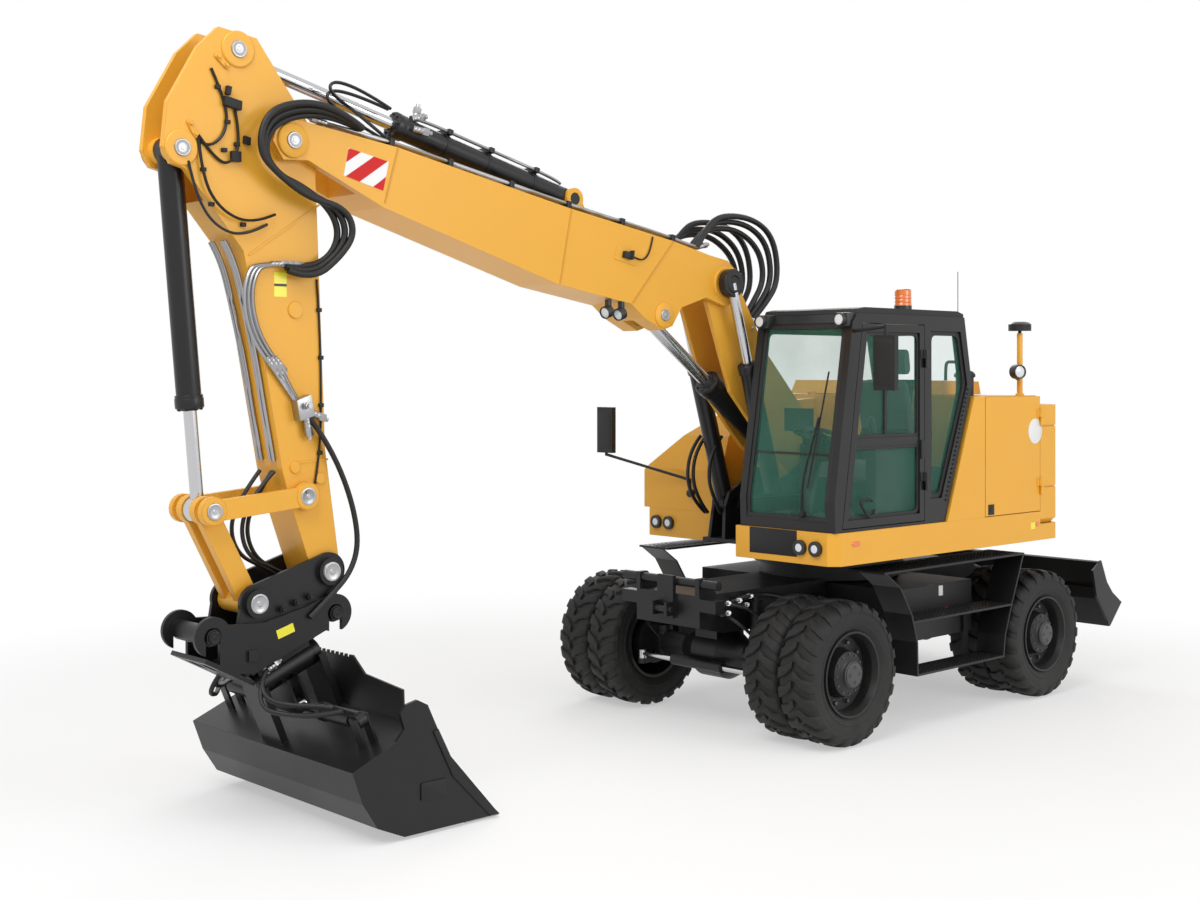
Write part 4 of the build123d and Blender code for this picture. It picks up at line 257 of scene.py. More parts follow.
def turned(profile, sides=64, closed=False, ends=False):
    """A mesh turned about the Z axis from (radius, z) points, listed from the top down outside."""
    made = bmesh.new()
    rings = []
    for radius, z in profile:
        angles = [math.tau * k / sides for k in range(sides)]
        rings.append([made.verts.new((radius * math.cos(a), radius * math.sin(a), z)) for a in angles])
    pairs = list(zip(rings, rings[1:]))
    if closed:
        pairs.append((rings[-1], rings[0]))
    for upper, lower in pairs:
        for k in range(sides):
            made.faces.new((upper[k], lower[k], lower[(k + 1) % sides], upper[(k + 1) % sides]))
    if ends:
        made.faces.new(rings[0])
        made.faces.new(reversed(rings[-1]))
    bmesh.ops.recalc_face_normals(made, faces=made.faces)
    mesh = bpy.data.meshes.new("turned")
    made.to_mesh(mesh)
    made.free()
    return mesh


def copies_tree(name, **sockets):
    """Starts Geometry Nodes that set copies on points, make them real and give them a finish."""
    tree = bpy.data.node_groups.new(name, "GeometryNodeTree")
    for label, kind in {"Geometry": "Geometry", **sockets, "Finish": "Material"}.items():
        tree.interface.new_socket(label, in_out="INPUT", socket_type="NodeSocket" + kind)
    tree.interface.new_socket("Geometry", in_out="OUTPUT", socket_type="NodeSocketGeometry")
    given = node(tree, "NodeGroupInput")
    copies = node(tree, "GeometryNodeInstanceOnPoints")
    solid = node(tree, "GeometryNodeRealizeInstances", {0: copies.outputs[0]})
    coated = node(tree, "GeometryNodeSetMaterial", {
        "Geometry": solid.outputs[0], "Material": given.outputs["Finish"],
    })
    node(tree, "NodeGroupOutput", {0: coated.outputs[0]})
    return tree, given, copies


def ring_tree():
    """Geometry Nodes that set copies of a mesh round a circle, each turned to face outwards."""
    tree, given, copies = copies_tree("copies round an axis", Count="Int", Radius="Float")
    circle = node(tree, "GeometryNodeMeshCircle", {
        "Vertices": given.outputs["Count"], "Radius": given.outputs["Radius"],
    })
    here = node(tree, "GeometryNodeInputPosition")
    facing = node(tree, "FunctionNodeAlignRotationToVector", {
        "Vector": here.outputs[0],
    }, axis="X", pivot_axis="Z")
    feed(tree, copies, {
        "Points": circle.outputs[0], "Instance": given.outputs["Geometry"], "Rotation": facing.outputs[0],
    })
    return tree


COPIES_ROUND = ring_tree()


def grown(mesh, tree, **inputs):
    """Runs a tree of Geometry Nodes on a mesh and returns the plain mesh that it makes."""
    holder = bpy.data.objects.new("holder", mesh)
    bpy.context.scene.collection.objects.link(holder)
    nodes = holder.modifiers.new("nodes", "NODES")
    nodes.node_group = tree
    for socket in tree.interface.items_tree:
        if socket.in_out == "INPUT" and socket.name in inputs:
            nodes[socket.identifier] = inputs[socket.name]
    holder.update_tag()
    result = bpy.data.meshes.new_from_object(holder.evaluated_get(bpy.context.evaluated_depsgraph_get()))
    holder.modifiers.remove(nodes)
    bpy.data.objects.remove(holder)
    return result


tyre_rubber = surface(
    "tyre_rubber", (0.011, 0.011, 0.0115), 0.62, spread=0.25, grain=0.5, grain_size=240, dust=0.16, gloss=0.3,
)

carcass_side = [
    (0.2925, 0.114), (0.300, 0.121), (0.312, 0.123), (0.322, 0.131), (0.345, 0.140), (0.352, 0.144),
    (0.357, 0.141), (0.385, 0.147), (0.412, 0.149), (0.436, 0.147), (0.441, 0.150), (0.446, 0.146),
    (0.462, 0.141), (0.474, 0.131), (0.482, 0.116), (0.486, 0.090), (0.4875, 0.045),
]
carcass_inside = [(0.470, 0.0), (0.465, 0.09), (0.43, 0.118), (0.36, 0.118), (0.30, 0.10)]
carcass_profile = (
    carcass_side
    + [(radius, -z) for radius, z in reversed(carcass_side)]
    + [(radius, -z) for radius, z in reversed(carcass_inside)]
    + carcass_inside[1:]
)
carcass = turned(carcass_profile, sides=96, closed=True)


def lug(way):
    """One tread block, from beside the crown's middle to over the shoulder. Way is 1 or -1 across."""
    stations = [
        # reach across, middle round the tyre, half its width there, outer radius, root radius
        (0.004, -0.046, 0.021, 0.5095, 0.480),
        (0.030, -0.030, 0.030, 0.5100, 0.480),
        (0.052, -0.006, 0.030, 0.5098, 0.480),
        (0.080, 0.006, 0.032, 0.5085, 0.480),
        (0.108, 0.016, 0.036, 0.5050, 0.475),
        (0.130, 0.026, 0.038, 0.4960, 0.465),
        (0.143, 0.032, 0.036, 0.4830, 0.455),
        (0.1500, 0.036, 0.032, 0.4640, 0.440),
        (0.1515, 0.038, 0.026, 0.4440, 0.436),
    ]
    made = bmesh.new()
    rows = []
    for across, middle, half, outer, root in stations:
        row = []
        for round_way, radius in (
            (middle - half - 0.006, root), (middle - half, outer - 0.004), (middle - half + 0.006, outer),
            (middle + half - 0.006, outer), (middle + half, outer - 0.004), (middle + half + 0.006, root),
        ):
            angle = round_way / 0.5
            row.append(made.verts.new((radius * math.cos(angle) - 0.5, radius * math.sin(angle), way * across)))
        rows.append(row)
    for near, far in zip(rows, rows[1:]):
        for k in range(5):
            made.faces.new((near[k], near[k + 1], far[k + 1], far[k]))
    made.faces.new(rows[0])
    made.faces.new(reversed(rows[-1]))
    bmesh.ops.recalc_face_normals(made, faces=made.faces)
    mesh = bpy.data.meshes.new("lug")
    made.to_mesh(mesh)
    made.free()
    return mesh


LUGS_ROUND = 23
half_pitch = Matrix.Rotation(math.pi / LUGS_ROUND, 4, "Z")
tread = [
    grown(lug(1), COPIES_ROUND, Count=LUGS_ROUND, Radius=0.5, Finish=tyre_rubber),
    (grown(lug(-1), COPIES_ROUND, Count=LUGS_ROUND, Radius=0.5, Finish=tyre_rubber), half_pitch),
]
one_tyre = joined([carcass] + tread)

ACROSS = Matrix.Rotation(math.radians(-90), 4, "X")
FRONT_AXLE, REAR_AXLE, HUB_HEIGHT = -0.4425, -2.9425, 0.51
CORNERS = (
    ("front_left", FRONT_AXLE, 1), ("front_right", FRONT_AXLE, -1),
    ("rear_left", REAR_AXLE, 1), ("rear_right", REAR_AXLE, -1),
)
for corner, axle, side in CORNERS:
    twins = []
    for reach, turn in ((0.807, 4), (1.123, 0)):
        place = Matrix.Translation((axle, side * reach, HUB_HEIGHT)) @ ACROSS
        if side < 0:
            place = place @ Matrix.Rotation(math.pi, 4, "X")
        twins.append((one_tyre, place @ Matrix.Rotation(math.radians(turn), 4, "Z")))
    tyre = piece(f"tyres_{corner}_rubber", twins, f"{corner}_wheel", tyre_rubber, smooth=38, slot="tyre_rubber")
    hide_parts(f"tyres_{corner}")


# Wheels. Black painted rims with the planetary hub in the middle of the dish. A ring of nuts holds
# each rim, and a grey cast cap with round recesses closes the hub.

def wear(node_names, finish):
    """Gives a finish to CAD nodes that are shown as they are."""
    for name in node_names:
        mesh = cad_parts[name].data
        mesh.materials.clear()
        mesh.materials.append(finish)


rim_paint = surface(
    "rim_paint", (0.009, 0.009, 0.0095), 0.42, spread=0.2, grain=0.12, grain_size=420, dust=0.12, edge=0.004,
    gloss=0.35,
)
hub_grey = surface(
    "hub_grey", (0.055, 0.055, 0.058), 0.5, spread=0.15, grain=0.3, grain_size=300, dust=0.1, edge=0.002,
)
nut_steel = surface("nut_steel", (0.12, 0.12, 0.125), 0.4, spread=0.1, metal=0.7)
wear([f"wheel_{corner}" for corner, _, _ in CORNERS], rim_paint)


def hexagon_head(across, tall):
    """A hexagon head or nut with its washer, standing on z = 0 about its own axis."""
    washer = turned([(across * 0.72, 0.18 * tall), (across * 0.72, 0)], sides=16, ends=True)
    head = turned(
        [(across * 0.42, tall), (across * 0.5, 0.86 * tall), (across * 0.5, 0.18 * tall)], sides=6, ends=True,
    )
    return joined([washer, head])


rim_nut = hexagon_head(0.034, 0.03)
cap_face = turned([
    (CENTRE, 0.022), (0.030, 0.022), (0.060, 0.021), (0.084, 0.018), (0.094, 0.010), (0.094, 0.0),
], sides=48)
recess = turned([(0.0125, 0.0022), (0.0105, 0.003), (0.0095, -0.006), (CENTRE, -0.006)], sides=20)
for corner, axle, side in CORNERS:
    out = Matrix.Translation((axle, 0, HUB_HEIGHT)) @ ACROSS
    if side < 0:
        out = out @ Matrix.Rotation(math.pi, 4, "X")
    nuts = grown(rim_nut, COPIES_ROUND, Count=10, Radius=0.215, Finish=nut_steel)
    cover_bolts = grown(hexagon_head(0.016, 0.012), COPIES_ROUND, Count=12, Radius=0.138, Finish=nut_steel)
    piece(f"rim_nuts_{corner}", [
        (nuts, out @ Matrix.Translation((0, 0, 1.135))),
        (cover_bolts, out @ Matrix.Translation((0, 0, 1.2165))),
    ], f"{corner}_wheel", nut_steel)
    holes = grown(recess, COPIES_ROUND, Count=4, Radius=0.052, Finish=rim_paint)
    piece(f"hub_cap_{corner}", [
        (cap_face, out @ Matrix.Translation((0, 0, 1.251))),
        (holes, out @ Matrix.Translation((0, 0, 1.2715)), 1),
    ], f"{corner}_wheel", hub_grey, rim_paint, smooth=40)


# Axles, knuckles and steering. Heavy black castings under the chassis, with a polished steering rod
# between the front knuckles and silver caps where the king pins turn.

black_paint = surface(
    "black_paint", (0.008, 0.008, 0.009), 0.4, spread=0.18, grain=0.16, grain_size=380, dust=0.09, edge=0.004,
    gloss=0.35,
)
chrome = surface("chrome", (0.56, 0.56, 0.575), 0.16, spread=0.03, metal=1.0)
bright_steel = surface(
    "bright_steel", (0.40, 0.40, 0.41), 0.32, spread=0.1, metal=0.95, grain=0.1, grain_size=300,
)
wear(["front_axle", "rear_axle", "knuckle_left", "knuckle_right"], black_paint)
wear(["steering_rod"], chrome)


def aimed(place, way):
    """A matrix that stands a mesh made about Z at a place, pointing along a way."""
    return Matrix.Translation(place) @ Vector(way).normalized().to_track_quat("Z", "Y").to_matrix().to_4x4()


pin_cap = turned([(CENTRE, 0.012), (0.030, 0.012), (0.036, 0.009), (0.036, 0.0)], sides=24)
for name, side in (("knuckle_left", 1), ("knuckle_right", -1)):
    low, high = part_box(name)
    middle_x, king_y = FRONT_AXLE, side * (min(abs(low[1]), abs(high[1])) + 0.07)
    cap_bolts = grown(hexagon_head(0.018, 0.012), COPIES_ROUND, Count=4, Radius=0.048, Finish=bright_steel)
    piece(f"king_pin_{name}", [
        (pin_cap, Matrix.Translation((middle_x, king_y, high[2]))),
        (cap_bolts, Matrix.Translation((middle_x, king_y, high[2]))),
    ], name, bright_steel, smooth=35)


# Chassis. A welded black box with a bolted bearing ring on top, a hitch bar across its nose, and
# hydraulic fittings and hoses that run along it. A reflector and a blank plate sit on its left side.

wear(["chassis"], black_paint)


def pipe(points, radius, sides=10, order=3):
    """A hose or pipe of one smooth run through space."""
    line = bpy.data.curves.new("pipe", "CURVE")
    line.dimensions = "3D"
    line.bevel_depth = radius
    line.bevel_resolution = max(0, sides // 4 - 1)
    line.use_fill_caps = True
    line.resolution_u = 6
    run = line.splines.new("NURBS")
    run.points.add(len(points) - 1)
    for knot, point in zip(run.points, points):
        knot.co = (*point, 1)
    run.order_u = order
    run.use_endpoint_u = True
    holder = bpy.data.objects.new("pipe", line)
    mesh = bpy.data.meshes.new_from_object(holder)
    bpy.data.objects.remove(holder)
    return mesh


def coupling(radius):
    """A hose end: a crimped sleeve and a hexagon nut, from the hose outwards along Z."""
    sleeve = turned([
        (radius * 1.28, 0.062), (radius * 1.34, 0.056), (radius * 1.34, 0.040), (radius * 1.24, 0.037),
        (radius * 1.34, 0.034), (radius * 1.34, 0.018), (radius * 1.24, 0.015), (radius * 1.34, 0.012),
        (radius * 1.30, 0.0),
    ], sides=16, ends=True)
    nut = turned(
        [(radius * 1.5, 0.104), (radius * 1.66, 0.099), (radius * 1.66, 0.067), (radius * 1.5, 0.062)], sides=6,
        ends=True,
    )
    neck = turned([(radius * 0.9, 0.125), (radius * 0.9, 0.1)], sides=12, ends=True)
    return joined([sleeve, nut, neck])


ring_bolts = grown(hexagon_head(0.022, 0.030), COPIES_ROUND, Count=48, Radius=0.5855, Finish=nut_steel)
SWING_X = -1.7425
piece("bearing_bolts", [
    (ring_bolts, Matrix.Translation((SWING_X, 0, 1.215))),
], "undercarriage", nut_steel, smooth=30)

fitting_parts = []
for x, z, reach in (
    (-0.10, 0.93, 0.03), (-0.10, 0.86, 0.03), (-0.22, 0.94, 0.03), (-0.30, 0.90, 0.03), (-0.34, 0.96, 0.03),
):
    for side in (-1, 1):
        fitting_parts.append((coupling(0.013), aimed((x, side * 0.33, z), (0.3, side, 0.25))))
piece("chassis_fittings", fitting_parts, "undercarriage", bright_steel, smooth=35)

hose_rubber = surface(
    "hose_rubber", (0.009, 0.009, 0.0095), 0.44, spread=0.2, grain=0.5, grain_size=500, gloss=0.4,
)
brake_hoses = []
for side in (-1, 1):
    brake_hoses += [
        pipe(
            [
                (-0.10, side * 0.36, 0.93), (-0.12, side * 0.46, 0.95), (-0.30, side * 0.52, 0.86),
                (-0.42, side * 0.55, 0.70), (-0.44, side * 0.56, 0.60),
            ],
            0.012,
        ),
        pipe(
            [
                (-0.10, side * 0.36, 0.86), (-0.05, side * 0.47, 0.86), (-0.18, side * 0.55, 0.74),
                (-0.30, side * 0.55, 0.60), (-0.36, side * 0.55, 0.56),
            ],
            0.012,
        ),
        pipe(
            [
                (-0.22, side * 0.37, 0.96), (-0.30, side * 0.45, 1.00), (-0.55, side * 0.40, 0.98),
                (-0.85, side * 0.36, 0.90), (-1.2, side * 0.34, 0.90),
            ],
            0.014,
        ),
    ]
piece("axle_hoses", brake_hoses, "undercarriage", hose_rubber, smooth=60)


# Steps and side boxes. Welded black treads with a raised grip pattern hang on both sides between the
# wheels, in front of closed tool boxes with a lid seam and two latches.

wear(["steps", "side_boxes"], black_paint)


def slab(points, low, high, edge=0.0):
    """A plate between two y values with an outline of (x, z) points and small rounded edges."""
    made = bmesh.new()
    near = [made.verts.new((x, low, z)) for x, z in points]
    far = [made.verts.new((x, high, z)) for x, z in points]
    made.faces.new(near)
    made.faces.new(reversed(far))
    for k in range(len(points)):
        made.faces.new((near[k], far[k], far[(k + 1) % len(points)], near[(k + 1) % len(points)]))
    bmesh.ops.recalc_face_normals(made, faces=made.faces)
    if edge:
        bmesh.ops.bevel(made, geom=list(made.edges), offset=edge, segments=2, affect="EDGES", profile=0.6)
    mesh = bpy.data.meshes.new("slab")
    made.to_mesh(mesh)
    made.free()
    return mesh


def box(x_low, x_high, y_low, y_high, z_low, z_high, edge=0.003):
    """A rounded rectangular block between limits on each axis."""
    return slab([(x_low, z_low), (x_high, z_low), (x_high, z_high), (x_low, z_high)], y_low, y_high, edge)


def spots_tree():
    """Geometry Nodes that set a copy of a mesh on each point of another, all turned the same way."""
    tree, given, copies = copies_tree("copies at spots", Item="Object", Turn="Vector")
    item = node(tree, "GeometryNodeObjectInfo", {"Object": given.outputs["Item"]})
    turn = node(tree, "FunctionNodeEulerToRotation", {0: given.outputs["Turn"]})
    feed(tree, copies, {
        "Points": given.outputs["Geometry"], "Instance": item.outputs["Geometry"], "Rotation": turn.outputs[0],
    })
    return tree


COPIES_AT_SPOTS = spots_tree()


def dotted(item, spots, turn, finish):
    """Copies of a mesh at listed places, each turned by the same angles."""
    places = bpy.data.meshes.new("spots")
    places.from_pydata([tuple(spot) for spot in spots], [], [])
    pattern = bpy.data.objects.new("pattern", item)
    bpy.context.scene.collection.objects.link(pattern)
    made = grown(places, COPIES_AT_SPOTS, Item=pattern, Turn=turn, Finish=finish)
    bpy.data.objects.remove(pattern)
    return made


grip = turned([(0.006, 0.004), (0.011, 0.0)], sides=8, ends=True)
tread_rows = (
    (FRONT_AXLE - 2.209 + 0.05, FRONT_AXLE - 0.376 - 0.05, 1.185, 0.97),
    (FRONT_AXLE - 2.040 + 0.06, FRONT_AXLE - 0.720 - 0.06, 0.800, 1.02),
    (FRONT_AXLE - 1.923 + 0.05, FRONT_AXLE - 0.775 - 0.05, 0.408, 1.02),
)
grip_spots = []
for x_low, x_high, z, y_in in tread_rows:
    count = int((x_high - x_low) / 0.045)
    for k in range(count + 1):
        for row in range(5):
            x = x_low + (x_high - x_low) * k / count + (0.0225 if row % 2 else 0)
            if x < x_high:
                for side in (-1, 1):
                    grip_spots.append((x, side * (y_in + 0.03 + row * 0.042), z))
piece("step_grips", dotted(grip, grip_spots, (0, 0, 0), black_paint), "undercarriage", black_paint)


# Dozer blade at the rear. A curved black mouldboard with a cutting edge along its foot, on two arms
# that two short cylinders with polished rods lift.

wear(["blade", "blade_cylinder_barrels"], black_paint)
wear(["blade_cylinder_rods"], chrome)


# Skirt and deck. A pressed yellow band runs round the revolving deck, with round work lamps let into
# its front ends and an oval reflector under the cab.

yellow_paint = surface(
    "yellow_paint", (0.80, 0.395, 0.036), 0.4, spread=0.035, grain=0.1, grain_size=160, coat=0.06, edge=0.005,
    gloss=0.4,
)
engine_grey = surface("engine_grey", (0.05, 0.05, 0.052), 0.6, spread=0.2, grain=0.4, grain_size=120)
wear(["deck"], black_paint)
wear(["skirt"], yellow_paint)
lamp_glass = surface("lamp_glass", (0.72, 0.75, 0.77), 0.08, spread=0.12, grain=0.6, grain_size=90, coat=1.0)
lamp_bezel = surface("lamp_bezel", (0.02, 0.02, 0.021), 0.35, spread=0.1, grain=0.1)
reflector_orange = surface(
    "reflector_orange", (0.80, 0.16, 0.008), 0.2, spread=0.1, grain=0.9, grain_size=420, coat=1.0,
)


def lamp(radius, deep):
    """A round work lamp facing +Z, with finish 0 on its bezel and 1 on its domed lens and bulb."""
    bezel = turned(
        [
            (radius * 0.80, deep * 0.86), (radius * 0.84, deep), (radius * 0.96, deep), (radius, deep * 0.9),
            (radius, 0.0),
        ],
        sides=40,
    )
    lens = turned(
        [
            (CENTRE, deep * 0.97), (radius * 0.3, deep * 0.955), (radius * 0.6, deep * 0.92),
            (radius * 0.81, deep * 0.86), (radius * 0.81, deep * 0.7),
        ],
        sides=40,
    )
    bulb = turned([(CENTRE, deep * 1.0), (radius * 0.2, deep * 0.985), (radius * 0.22, deep * 0.94)], sides=24)
    return joined([bezel, (lens, Matrix(), 1), (bulb, Matrix(), 1)])


FORWARD = (1, 0, 0)
CAB_FRONT_X, RIGHT_FRONT_X = SWING_X + 1.49, SWING_X + 0.86
skirt_lamps = [
    (lamp(0.054, 0.028), aimed((x, y, 1.385), FORWARD))
    for x, y in ((CAB_FRONT_X, 1.085), (CAB_FRONT_X, 0.945), (RIGHT_FRONT_X, -1.1), (RIGHT_FRONT_X, -0.96))
]


def oval(half_long, half_tall, thick):
    """A thin domed oval: a reflector or a plate, in the XZ plane, facing +Y."""
    made = turned([(CENTRE, thick), (0.6, thick * 0.94), (0.93, thick * 0.6), (1.0, 0)], sides=28)
    made.transform(Matrix.Diagonal((half_long, half_tall, 1, 1)))
    made.transform(Matrix.Rotation(math.radians(-90), 4, "X"))
    return made


piece("skirt_lamps", skirt_lamps, "upper", lamp_bezel, lamp_glass, smooth=35)
skirt_reflector = joined([
    (oval(0.052, 0.022, 0.006), Matrix.Translation((-0.484, 1.25, 1.416))),
    (oval(0.03, 0.018, 0.006), Matrix.Translation((-2.835, 1.25, 1.40))),
])
piece("skirt_reflector", skirt_reflector, "upper", reflector_orange, smooth=60)
piece("chassis_reflector", [(oval(0.05, 0.03, 0.006), Matrix.Translation((-1.961, 0.985, 0.77)))],
      "undercarriage", reflector_orange, smooth=60)
step_recess = box(CAB_FRONT_X - 0.004, CAB_FRONT_X + 0.003, 0.47, 0.91, 1.315, 1.4995, 0.002)
piece("skirt_recess", step_recess, "upper", rim_paint, smooth=35)
blank_yellow = surface("label_yellow", (0.86, 0.78, 0.03), 0.35, spread=0.03, grain=0.05, coat=0.3)
piece("skirt_label", box(-2.800, -2.738, 1.25, 1.2512, 1.365, 1.418, 0.0), "upper", blank_yellow)


# Body. Pressed yellow doors and a cast counterweight close the engine bay behind the cab. The mast
# with its receiver dome, a work lamp and the breather stand on top.

wear(
    ["counterweight", "body_panels", "right_hood", "service_door_left", "service_door_right", "engine_hood"],
    yellow_paint,
)
wear(["engine"], engine_grey)
black_plastic = surface(
    "black_plastic", (0.011, 0.011, 0.0115), 0.5, spread=0.15, grain=0.5, grain_size=420, edge=0.003,
    gloss=0.35,
)
wear(["deck_fittings"], black_plastic)
white_vinyl = surface("white_vinyl", (0.78, 0.78, 0.77), 0.35, spread=0.02, grain=0.05, coat=0.3)
black_vinyl = surface("black_vinyl", (0.02, 0.02, 0.02), 0.4, spread=0.1, grain=0.05)
disc = joined([turned([(CENTRE, 0.0016), (0.098, 0.0016), (0.1, 0.0)], sides=48)])
disc.transform(Matrix.Rotation(math.radians(-90), 4, "X"))
disc.transform(Matrix.Translation((-2.80, 1.2515, 2.146)))
piece("blank_disc", disc, "upper", white_vinyl, smooth=40)

DOOR_BACK_X, DOOR_FRONT_X, DOOR_LOW, DOOR_HIGH = -2.8715, -2.0935, 1.506, 2.424
door_skin = slab([
    (DOOR_BACK_X, DOOR_LOW), (DOOR_FRONT_X, DOOR_LOW), (DOOR_FRONT_X, DOOR_HIGH), (DOOR_BACK_X, DOOR_HIGH),
], 1.2495, 1.2508)
piece("door_skin_left", door_skin, "service_door_left", yellow_paint)

lock = joined([
    box(-2.21, -2.13, 1.249, 1.2545, 1.515, 1.595, 0.0015),
    (
        turned([(CENTRE, 0.004), (0.016, 0.004), (0.018, 0.0)], sides=20),
        Matrix.Translation((-2.17, 1.2545, 1.555)) @ ACROSS,
    ),
])
piece("door_lock_left", lock, "service_door_left", black_plastic, smooth=35)
lock_right = lock.copy()
lock_right.transform(Matrix.Diagonal((1, -1, 1, 1)))
lock_right.flip_normals()
piece("door_lock_right", lock_right, "service_door_right", black_plastic, smooth=35)

SEAM_X, PANEL_FRONT_X = SWING_X - 1.135, SWING_X - 0.345
mast_lamp = joined([
    (lamp(0.058, 0.07), aimed((SEAM_X + 0.13, 1.1, 2.62), (0.35, 0.93, 0.0))),
    pipe([(SEAM_X + 0.06, 1.1, 2.56), (SEAM_X + 0.10, 1.1, 2.56), (SEAM_X + 0.13, 1.11, 2.57)], 0.012),
])
piece("mast_lamp", mast_lamp, "upper", lamp_bezel, lamp_glass, smooth=35)
dome_metal = surface("dome_shell", (0.03, 0.03, 0.032), 0.3, spread=0.1, grain=0.1, coat=0.4)
mast_dome = joined([
    (turned([(CENTRE, 0.0245), (0.045, 0.023), (0.075, 0.016), (0.0905, 0.002), (0.0905, 0.0)], sides=48),
     Matrix.Translation((SEAM_X + 0.06, 1.1, 3.0005))),
])
piece("mast_dome", mast_dome, "upper", dome_metal, smooth=35)
piece(
    "mast_tube",
    [
        (
            turned([(0.0145, 0.50), (0.023, 0.50), (0.023, 0.02), (0.034, 0.012), (0.034, 0.0)], sides=24),
            Matrix.Translation((SEAM_X + 0.06, 1.1, 2.43)),
        )
    ],
    "upper", yellow_paint, smooth=35,
)
side_plate = joined([box(-1.912, -1.858, 0.985, 0.9866, 0.893, 0.970, 0.0)])
piece("blank_side_plate", side_plate, "undercarriage", white_vinyl)

hood_rail = joined([
    pipe(
        [
            (SEAM_X + 0.30, 0.70, 2.55), (SEAM_X + 0.30, 0.70, 2.66), (SEAM_X + 0.32, 0.70, 2.70),
            (SEAM_X + 0.36, 0.70, 2.70), (PANEL_FRONT_X - 0.36, 0.70, 2.70), (PANEL_FRONT_X - 0.30, 0.70, 2.70),
            (PANEL_FRONT_X - 0.28, 0.70, 2.66), (PANEL_FRONT_X - 0.28, 0.70, 2.55),
        ],
        0.013, sides=12,
    )
])
piece("hood_handrail", hood_rail, "engine_hood", black_plastic, smooth=60)
breather = joined([
    (
        turned(
            [
                (CENTRE, 0.085), (0.03, 0.084), (0.066, 0.07), (0.083, 0.05), (0.083, 0.03), (0.07, 0.024),
                (0.07, 0.0),
            ],
            sides=36,
        ),
        Matrix.Translation((PANEL_FRONT_X - 0.16, 0.96, 2.55)),
    )
])
piece("air_breather", breather, "upper", black_plastic, smooth=35)


# Cab. A welded black frame with rubber-sealed green-tinted glass, a slatted trim on the slanted rear
# pillar, a curved roof with two lamps, a door with a long pull handle, and a wiper on the windscreen.

cab_black = surface(
    "cab_black", (0.009, 0.009, 0.010), 0.34, spread=0.15, grain=0.1, grain_size=420, coat=0.08, edge=0.006,
    gloss=0.35,
)
seal_rubber = surface("seal_rubber", (0.011, 0.011, 0.011), 0.62, spread=0.1, grain=0.3, grain_size=500)
wear(["cab_frame", "cab_door"], cab_black)
wear(["cab_roof", "mirrors"], black_plastic)
wear(["cab_controls"], black_plastic)

tinted_glass = bpy.data.materials.new("tinted_glass")
tinted_glass.use_nodes = True
glass_shader = tinted_glass.node_tree.nodes["Principled BSDF"]
glass_tree = tinted_glass.node_tree
glass_place = node(glass_tree, "ShaderNodeTexCoord")
glass_smear = node(glass_tree, "ShaderNodeTexNoise", {"Scale": 3.0, "Vector": glass_place.outputs["Object"]})
glass_film = node(glass_tree, "ShaderNodeMapRange", {
    "To Min": 0.08, "To Max": 0.19, "Value": glass_smear.outputs["Fac"],
})
feed(glass_tree, glass_shader, {
    "Base Color": (0.09, 0.34, 0.24, 1), "Roughness": 0.03, "IOR": 1.5, "Alpha": glass_film.outputs[0],
})
wear(["cab_glass", "door_glass"], tinted_glass)


def shrunk(points, inset):
    """A closed outline of (x, z) points with every edge moved in by an inset."""
    count = len(points)
    area = sum(
        points[k][0] * points[(k + 1) % count][1] - points[(k + 1) % count][0] * points[k][1]
        for k in range(count)
    )
    turn = 1 if area > 0 else -1
    moved = []
    for k in range(count):
        before, here, after = (Vector(points[k - 1]), Vector(points[k]), Vector(points[(k + 1) % count]))
        into = (here - before).normalized()
        out = (after - here).normalized()
        into_side = Vector((-into.y, into.x)) * turn
        out_side = Vector((-out.y, out.x)) * turn
        bisector = (into_side + out_side).normalized()
        moved.append(tuple(here + bisector * inset / max(0.3, bisector.dot(into_side))))
    return moved


def rounded_outline(points, radius, steps=4):
    """A closed outline of (x, z) points with its corners rounded."""
    done = []
    count = len(points)
    for k in range(count):
        before, here, after = (Vector(points[k - 1]), Vector(points[k]), Vector(points[(k + 1) % count]))
        reach = min(radius, (before - here).length * 0.45, (after - here).length * 0.45)
        start = here + (before - here).normalized() * reach
        end = here + (after - here).normalized() * reach
        for step in range(steps + 1):
            t = step / steps
            done.append(tuple(start * (1 - t) ** 2 + here * 2 * t * (1 - t) + end * t**2))
    return done


def picture_frame(points, width, low, high, corner=0.05):
    """A flat frame round an opening, between an outline and the same outline moved in."""
    outer = rounded_outline(points, corner)
    inner = rounded_outline(shrunk(points, width), corner)
    made = bmesh.new()
    rings = [
        [made.verts.new((x, y, z)) for x, z in line]
        for line, y in ((outer, low), (outer, high), (inner, high), (inner, low))
    ]
    count = len(outer)
    for a, b in zip(rings, rings[1:] + rings[:1]):
        for k in range(count):
            made.faces.new((a[k], b[k], b[(k + 1) % count], a[(k + 1) % count]))
    bmesh.ops.recalc_face_normals(made, faces=made.faces)
    mesh = bpy.data.meshes.new("frame")
    made.to_mesh(mesh)
    made.free()
    return mesh


